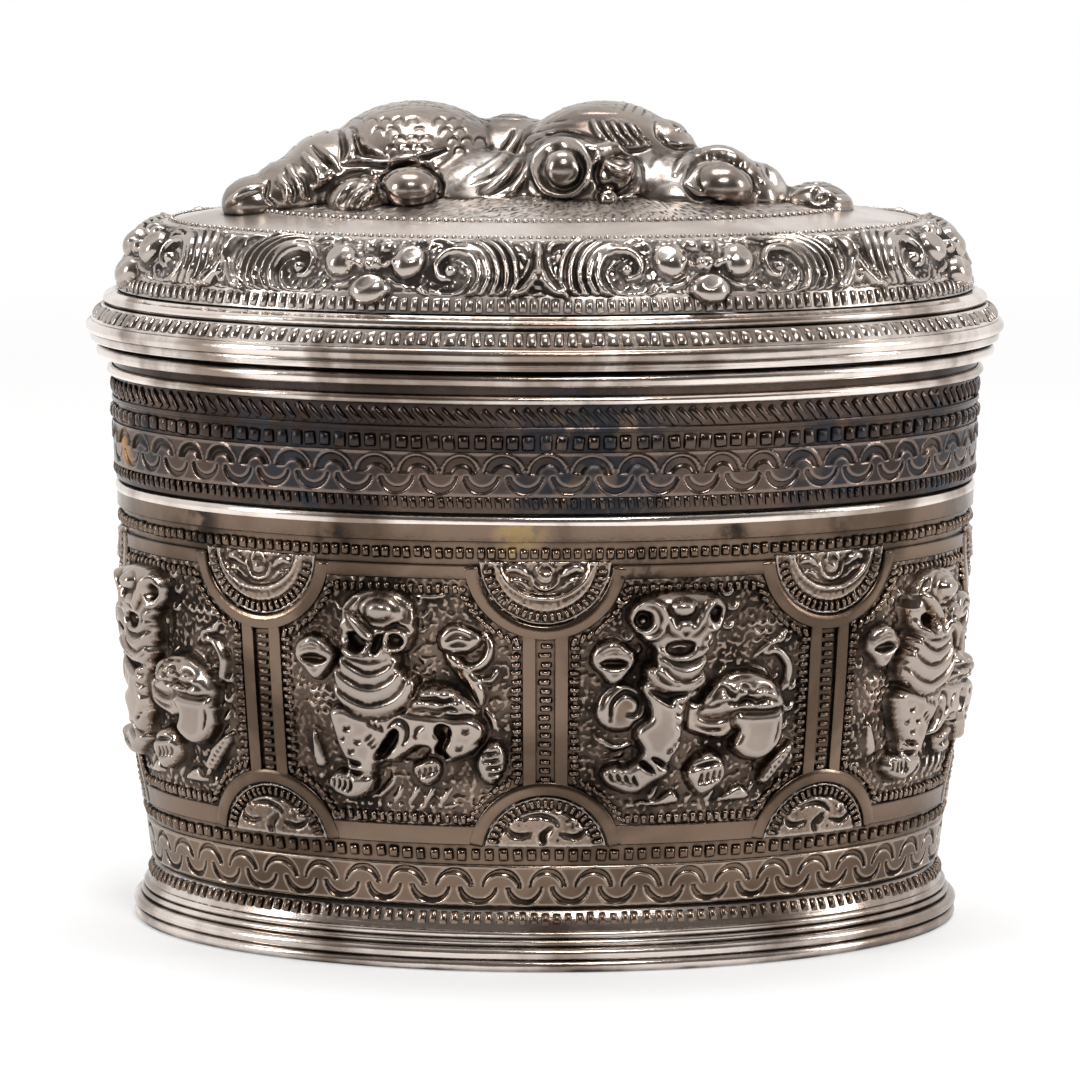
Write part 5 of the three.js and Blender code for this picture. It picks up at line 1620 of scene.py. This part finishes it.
def chased_front(sheet):
    """The beast's lines as seen from the front: (x, z)."""
    def raised(width, proud, *lines):
        for line in lines:
            stroke(sheet, line, width, proud)

    # Rump with its scales, folds and hind leg
    arches(sheet, -18.6, -6.6, 75.9, 79.4, 1.3, -0.26,
           lambda u, v: (u + 12.6) ** 2 / 44 + (v - 77.3) ** 2 / 7 < 1)
    raised(0.5, -0.8, [(-19.5, 74.8), (-17.2, 75.0), (-14.6, 74.6), (-12.2, 75.3), (-9.6, 76.2)],
           [(-19.9, 78.2), (-19.3, 76.7), (-19.6, 75.3)], [(-18.3, 77.4), (-17.6, 76.1), (-15.4, 75.5)],
           [(-22.4, 76.6), (-21.0, 75.3), (-19.9, 74.2)])
    raised(0.45, 0.5, [(-19.0, 78.2), (-18.6, 76.4), (-18.9, 75.5)], [(-23.2, 75.8), (-22.0, 74.5),
           (-21.6, 73.0)], [(-22.3, 72.7), (-21.2, 73.4), (-20.3, 74.5)], [(-24.7, 74.6), (-23.7, 73.3),
           (-23.3, 71.9)], [(-25.5, 73.7), (-24.7, 72.5), (-24.8, 71.4)], [(-30.6, 71.1), (-28.9, 72.2),
           (-27.0, 72.6)])
    raised(0.3, -0.55, [(-24.1, 74.3), (-23.2, 72.9), (-22.8, 71.6)], [(-25.0, 73.8), (-24.2, 72.4),
           (-24.2, 71.3)], [(-26.6, 73.2), (-26.8, 71.8), (-26.0, 70.8)], [(-20.0, 73.4), (-18.6, 74.0),
           (-17.0, 74.2)])
    hatched(sheet, (-26.0, 73.2), (-21.6, 75.9), 6, (0.6, -0.7), 0.16, -0.3)
    raised(0.34, 0.55, [(-19.2, 70.4), (-18.4, 71.5), (-17.4, 72.5)], [(-18.2, 70.2), (-17.5, 71.2),
           (-16.7, 71.9)], [(-20.2, 71.0), (-19.2, 72.2), (-18.2, 73.1)])
    dots = (-17.3, 73.4), (-16.5, 74.0), (-15.9, 73.2), (-16.6, 72.6)
    swells(sheet, *((x, z, 0.46, 0.44, 0.4) for x, z in dots))
    knob = [(-13.0 + 2.9 * math.cos(a), 72.9 + 1.95 * math.sin(a))
            for a in np.linspace(0, 2 * math.pi, 13)[:-1]]
    stroke(sheet, knob, 0.45, -0.7, closed=True)
    raised(0.35, 0.4, [(-16.3, 73.4), (-14.4, 75.1), (-11.8, 75.1), (-9.9, 73.5)])
    # Mane, eyes and brows
    raised(0.42, 0.4, [(-7.6, 73.4), (-5.2, 74.7), (-3.5, 76.3), (-2.4, 78.0)], [(-6.1, 72.1), (-4.4, 73.3),
           (-3.0, 74.9), (-2.0, 76.5)], [(-4.1, 71.3), (-3.0, 72.4), (-2.2, 73.5), (-1.7, 74.7)])
    raised(0.24, -0.6, [(-7.2, 72.9), (-4.9, 74.0), (-3.1, 75.7), (-2.1, 77.3)], [(-5.6, 71.7),
           (-3.9, 72.8), (-2.6, 74.3), (-1.8, 75.7)], [(-4.9, 75.3), (-3.6, 76.9), (-3.0, 78.2)])
    raised(0.16, -0.3, [(-6.0, 74.6), (-4.2, 76.0), (-3.1, 77.6)], [(-4.6, 73.6), (-3.3, 75.0),
           (-2.4, 76.6)])
    ringed(sheet, 1.65, 74.5, 2.05, 0.4, -0.8)
    ringed(sheet, 1.6, 74.4, 2.6, 0.34, 0.55)
    raised(0.2, -0.4, [(-1.6, 74.4), (-0.8, 72.7), (0.8, 71.6), (2.8, 71.5), (3.8, 72.3)], [(-0.6, 73.3),
           (0.6, 72.2), (2.2, 72.0), (3.4, 72.6)])
    raised(0.26, 0.35, [(-1.3, 73.2), (0.2, 71.9), (2.4, 71.6), (3.6, 72.3)])
    ringed(sheet, 6.9, 74.0, 1.95, 0.38, -0.75)
    raised(0.42, 0.5, [(4.9, 76.1), (5.5, 75.2), (6.4, 74.5), (7.6, 74.1), (8.4, 74.8), (8.2, 75.5)])
    raised(0.34, 0.4, [(-0.9, 76.2), (1.2, 77.3), (3.2, 77.0), (4.4, 76.4), (6.6, 76.6), (8.2, 75.4),
           (8.9, 74.1), (8.7, 72.8)])
    raised(0.2, -0.4, [(-0.8, 77.2), (1.4, 78.1), (3.8, 77.6), (5.0, 77.1)], [(8.2, 76.1), (9.3, 74.8),
           (9.5, 73.2)])
    ringed(sheet, 6.0, 71.8, 1.1, 0.25, -0.5)
    # Crown: combed hair, five slanted locks, and the snout
    for i in range(5):
        x = 4.6 + 0.9 * i
        raised(0.36, 0.5, [(x, 79.0 - 0.1 * i), (x + 0.6, 77.9 - 0.08 * i), (x + 1.5, 76.9 - 0.02 * i)])
        raised(0.18, -0.6, [(x + 0.45, 78.9 - 0.1 * i), (x + 1.05, 77.8 - 0.08 * i), (x + 1.95, 76.9)])
    raised(0.16, -0.26, [(-1.6, 77.6), (0.8, 78.4), (3.6, 78.5)], [(-1.0, 78.5), (1.4, 79.1), (4.0, 79.2)],
           [(-2.1, 76.9), (-0.4, 77.6), (1.2, 78.0)], [(1.6, 79.5), (4.2, 79.7), (7.6, 79.6)], [(0.2, 78.9),
           (2.6, 79.4), (5.6, 79.4)])
    raised(0.3, 0.3, [(-2.2, 76.6), (-1.0, 77.5), (0.2, 77.6)], [(-1.6, 76.0), (-0.4, 76.9), (0.9, 77.2)])
    raised(0.3, -0.55, [(10.6, 78.9), (10.9, 77.7), (11.7, 76.9)], [(11.4, 76.9), (12.9, 76.5),
           (14.6, 76.7)], [(7.2, 76.4), (8.6, 76.2), (10.2, 76.5)], [(12.0, 78.9), (13.2, 78.5),
           (14.2, 77.7)])
    swell(sheet, 13.0, 78.2, 0.32, 0.3, 0.3)
    # Curled lobes and the rim below them
    raised(0.5, 0.5, [(12.5, 73.9), (13.8, 75.6), (16.6, 76.4), (19.4, 75.3), (21.0, 73.2)])
    raised(0.42, -0.75, [(13.4, 73.2), (14.6, 75.1), (17.0, 75.7), (19.3, 74.3), (20.5, 72.2)],
           [(13.3, 72.9), (15.0, 71.5), (17.6, 70.9)], [(21.0, 75.2), (21.7, 74.2), (22.2, 73.0)])
    hatched(sheet, (14.0, 75.9), (20.2, 74.4), 9, (0.15, 0.5), 0.14, -0.3)
    raised(0.4, 0.45, [(7.6, 71.7), (9.7, 70.9), (12.3, 70.6), (14.7, 70.8), (16.9, 71.4)])
    raised(0.26, -0.5, [(8.0, 72.1), (10.0, 71.5), (12.3, 71.2), (14.6, 71.3)])
    raised(0.34, 0.35, [(23.9, 71.9), (25.7, 72.6), (27.5, 71.8), (28.9, 70.9)])
    ringed(sheet, 26.4, 71.8, 0.55, 0.22, -0.4)
    raised(0.24, -0.4, [(23.5, 71.4), (25.7, 70.8), (28.5, 70.5)])


def chased_top(sheet):
    """The lines on its back as seen from above: (x, y)."""
    arches(sheet, -19.5, -5.0, -4.0, 9.0, 1.5, -0.26,
           lambda u, v: (u + 12.6) ** 2 / 60 + (v - 2) ** 2 / 52 < 1)
    for i in range(9):
        y = -5.5 + 1.5 * i
        stroke(sheet, [(-2.8, y), (0.6, y * 0.9 + 0.4), (4.0, y * 0.8 + 0.3)], 0.18, -0.26)
        stroke(sheet, [(-5.2, y + 0.5), (-3.4, y + 0.2), (-1.8, y + 0.3)], 0.3, 0.3)
    for i in range(5):
        stroke(sheet, [(-21.5 - 1.6 * i, -3.5), (-21.0 - 1.6 * i, 0.0), (-21.6 - 1.5 * i, 3.2)], 0.26,
               -0.35)
    for x, y, size in ((16.4, -2.6, 2.6), (16.4, -2.6, 1.5), (26.4, -3.0, 1.8), (26.4, -3.0, 0.9),
                       (-7.4, 13.0, 2.2), (7.4, 13.2, 2.0), (2.4, 13.4, 1.2)):
        ringed(sheet, x, y, size, 0.28, -0.4)
    hatched(sheet, (10.5, 11.2), (3.6, 11.2), 6, (0.4, 2.8), 0.2, -0.35)
    hatched(sheet, (-10.5, 11.0), (-4.4, 11.0), 6, (0.3, 3.0), 0.2, -0.35)
    for i in range(4):
        stroke(sheet, [(6.4 + 0.9 * i, -6.5), (7.2 + 0.9 * i, -3.6), (7.6 + 0.9 * i, -0.6)], 0.3, 0.35)
    ringed(sheet, 10.8, -1.2, 0.5, 0.2, -0.35)


def read_off(sheet, u, v):
    """The worked sheet's height at these places."""
    step = sheet.u[0, 1] - sheet.u[0, 0]
    across = np.clip((u - sheet.u[0, 0]) / step, 0, sheet.u.shape[1] - 1.001)
    upward = np.clip((v - sheet.z[0, 0]) / step, 0, sheet.u.shape[0] - 1.001)
    i, j = across.astype(int), upward.astype(int)
    s, t = across - i, upward - j
    h = sheet.h
    below = h[j, i] * (1 - s) + h[j, i + 1] * s
    above_it = h[j + 1, i] * (1 - s) + h[j + 1, i + 1] * s
    return below * (1 - t) + above_it * t


def melted(name, lumps, others, rounds):
    """The lumps and the other pieces melted into one skin and eased."""
    parts = list(others)
    for x, y, top, wide, deep, half in lumps:
        bpy.ops.mesh.primitive_uv_sphere_add(segments=32, ring_count=20, radius=MM,
                                             location=(x * MM, y * MM, (top - half) * MM),
                                             scale=(wide, deep, half))
        bpy.ops.object.transform_apply(location=True, rotation=True, scale=True)
        parts.append(bpy.context.object)
    made = as_one(parts)
    made.name = name
    corners = corners_of(made)
    corners[:, 2] = np.maximum(corners[:, 2], dome_height(corners[:, 0], corners[:, 1]) - BEAST_SINK)
    set_corners(made, corners)
    worked_over(made, "REMESH", mode="VOXEL", voxel_size=BEAST_VOXEL)
    worked_over(made, "SMOOTH", iterations=rounds)
    return made


masses = melted("beast_masses", BEAST_MASSES, [], 45)
beast = melted("crouching_beast", BEAST_BALLS, [masses], 6)
bpy.ops.object.shade_smooth()

front = blank(BEAST_LEFT, BEAST_RIGHT, 69, 81.5, 0.1)
chased_front(front)
above = blank(BEAST_LEFT, BEAST_RIGHT, -17, 18, 0.12)
chased_top(above)
matted(above, 61, 0.035, 5)
corners = corners_of(beast) / MM
normals = np.empty(len(corners) * 3)
beast.data.vertex_normals.foreach_get("vector", normals)
normals = normals.reshape(-1, 3)
# The front sheet stands upright through the beast, and each point reads it in line with the viewer's eye
nearer = (BEAST_FRONT - EYE.y / MM) / (corners[:, 1] - EYE.y / MM)
seen_x = corners[:, 0] * nearer
seen_z = EYE.z / MM + (corners[:, 2] - EYE.z / MM) * nearer
facing_front = np.clip(-normals[:, 1] * 2.2, 0, 1)
facing_up = np.clip((normals[:, 2] - 0.3) * 2.5, 0, 1) * (1 - facing_front)
dome_under = dome_height(corners[:, 0] * MM, corners[:, 1] * MM) / MM
clear_of_dome = np.clip((corners[:, 2] - dome_under) / 0.5, 0, 1)
rise = read_off(eased_sheet(front), seen_x, seen_z) * facing_front
rise += read_off(eased_sheet(above), corners[:, 0], corners[:, 1]) * facing_up
set_corners(beast, (corners + normals * (rise * clear_of_dome)[:, None]) * MM)
matte = (0.66, 0.6, 0.55)
slopes = spots(matte, [(-7.0, -10.5, 74.0, 4.4), (-5.0, -9.0, 76.0, 3.4), (11.2, -9.0, 74.2, 3.8),
                       (12.6, -9.0, 72.6, 3.0), (22.6, -5.0, 73.0, 2.6)])
beast_silver = silver("beast_silver", (0.4, 0.335, 0.29), (0.14, 0.108, 0.09), rough=(0.12, 0.3),
                      stains=slopes)
done(aged(beast, 12, 0.06), beast_silver, "lid", "lid_cover")


# The punches were only tools, so they go.
for punch in (bead_punch, peg_punch):
    bpy.data.objects.remove(punch)
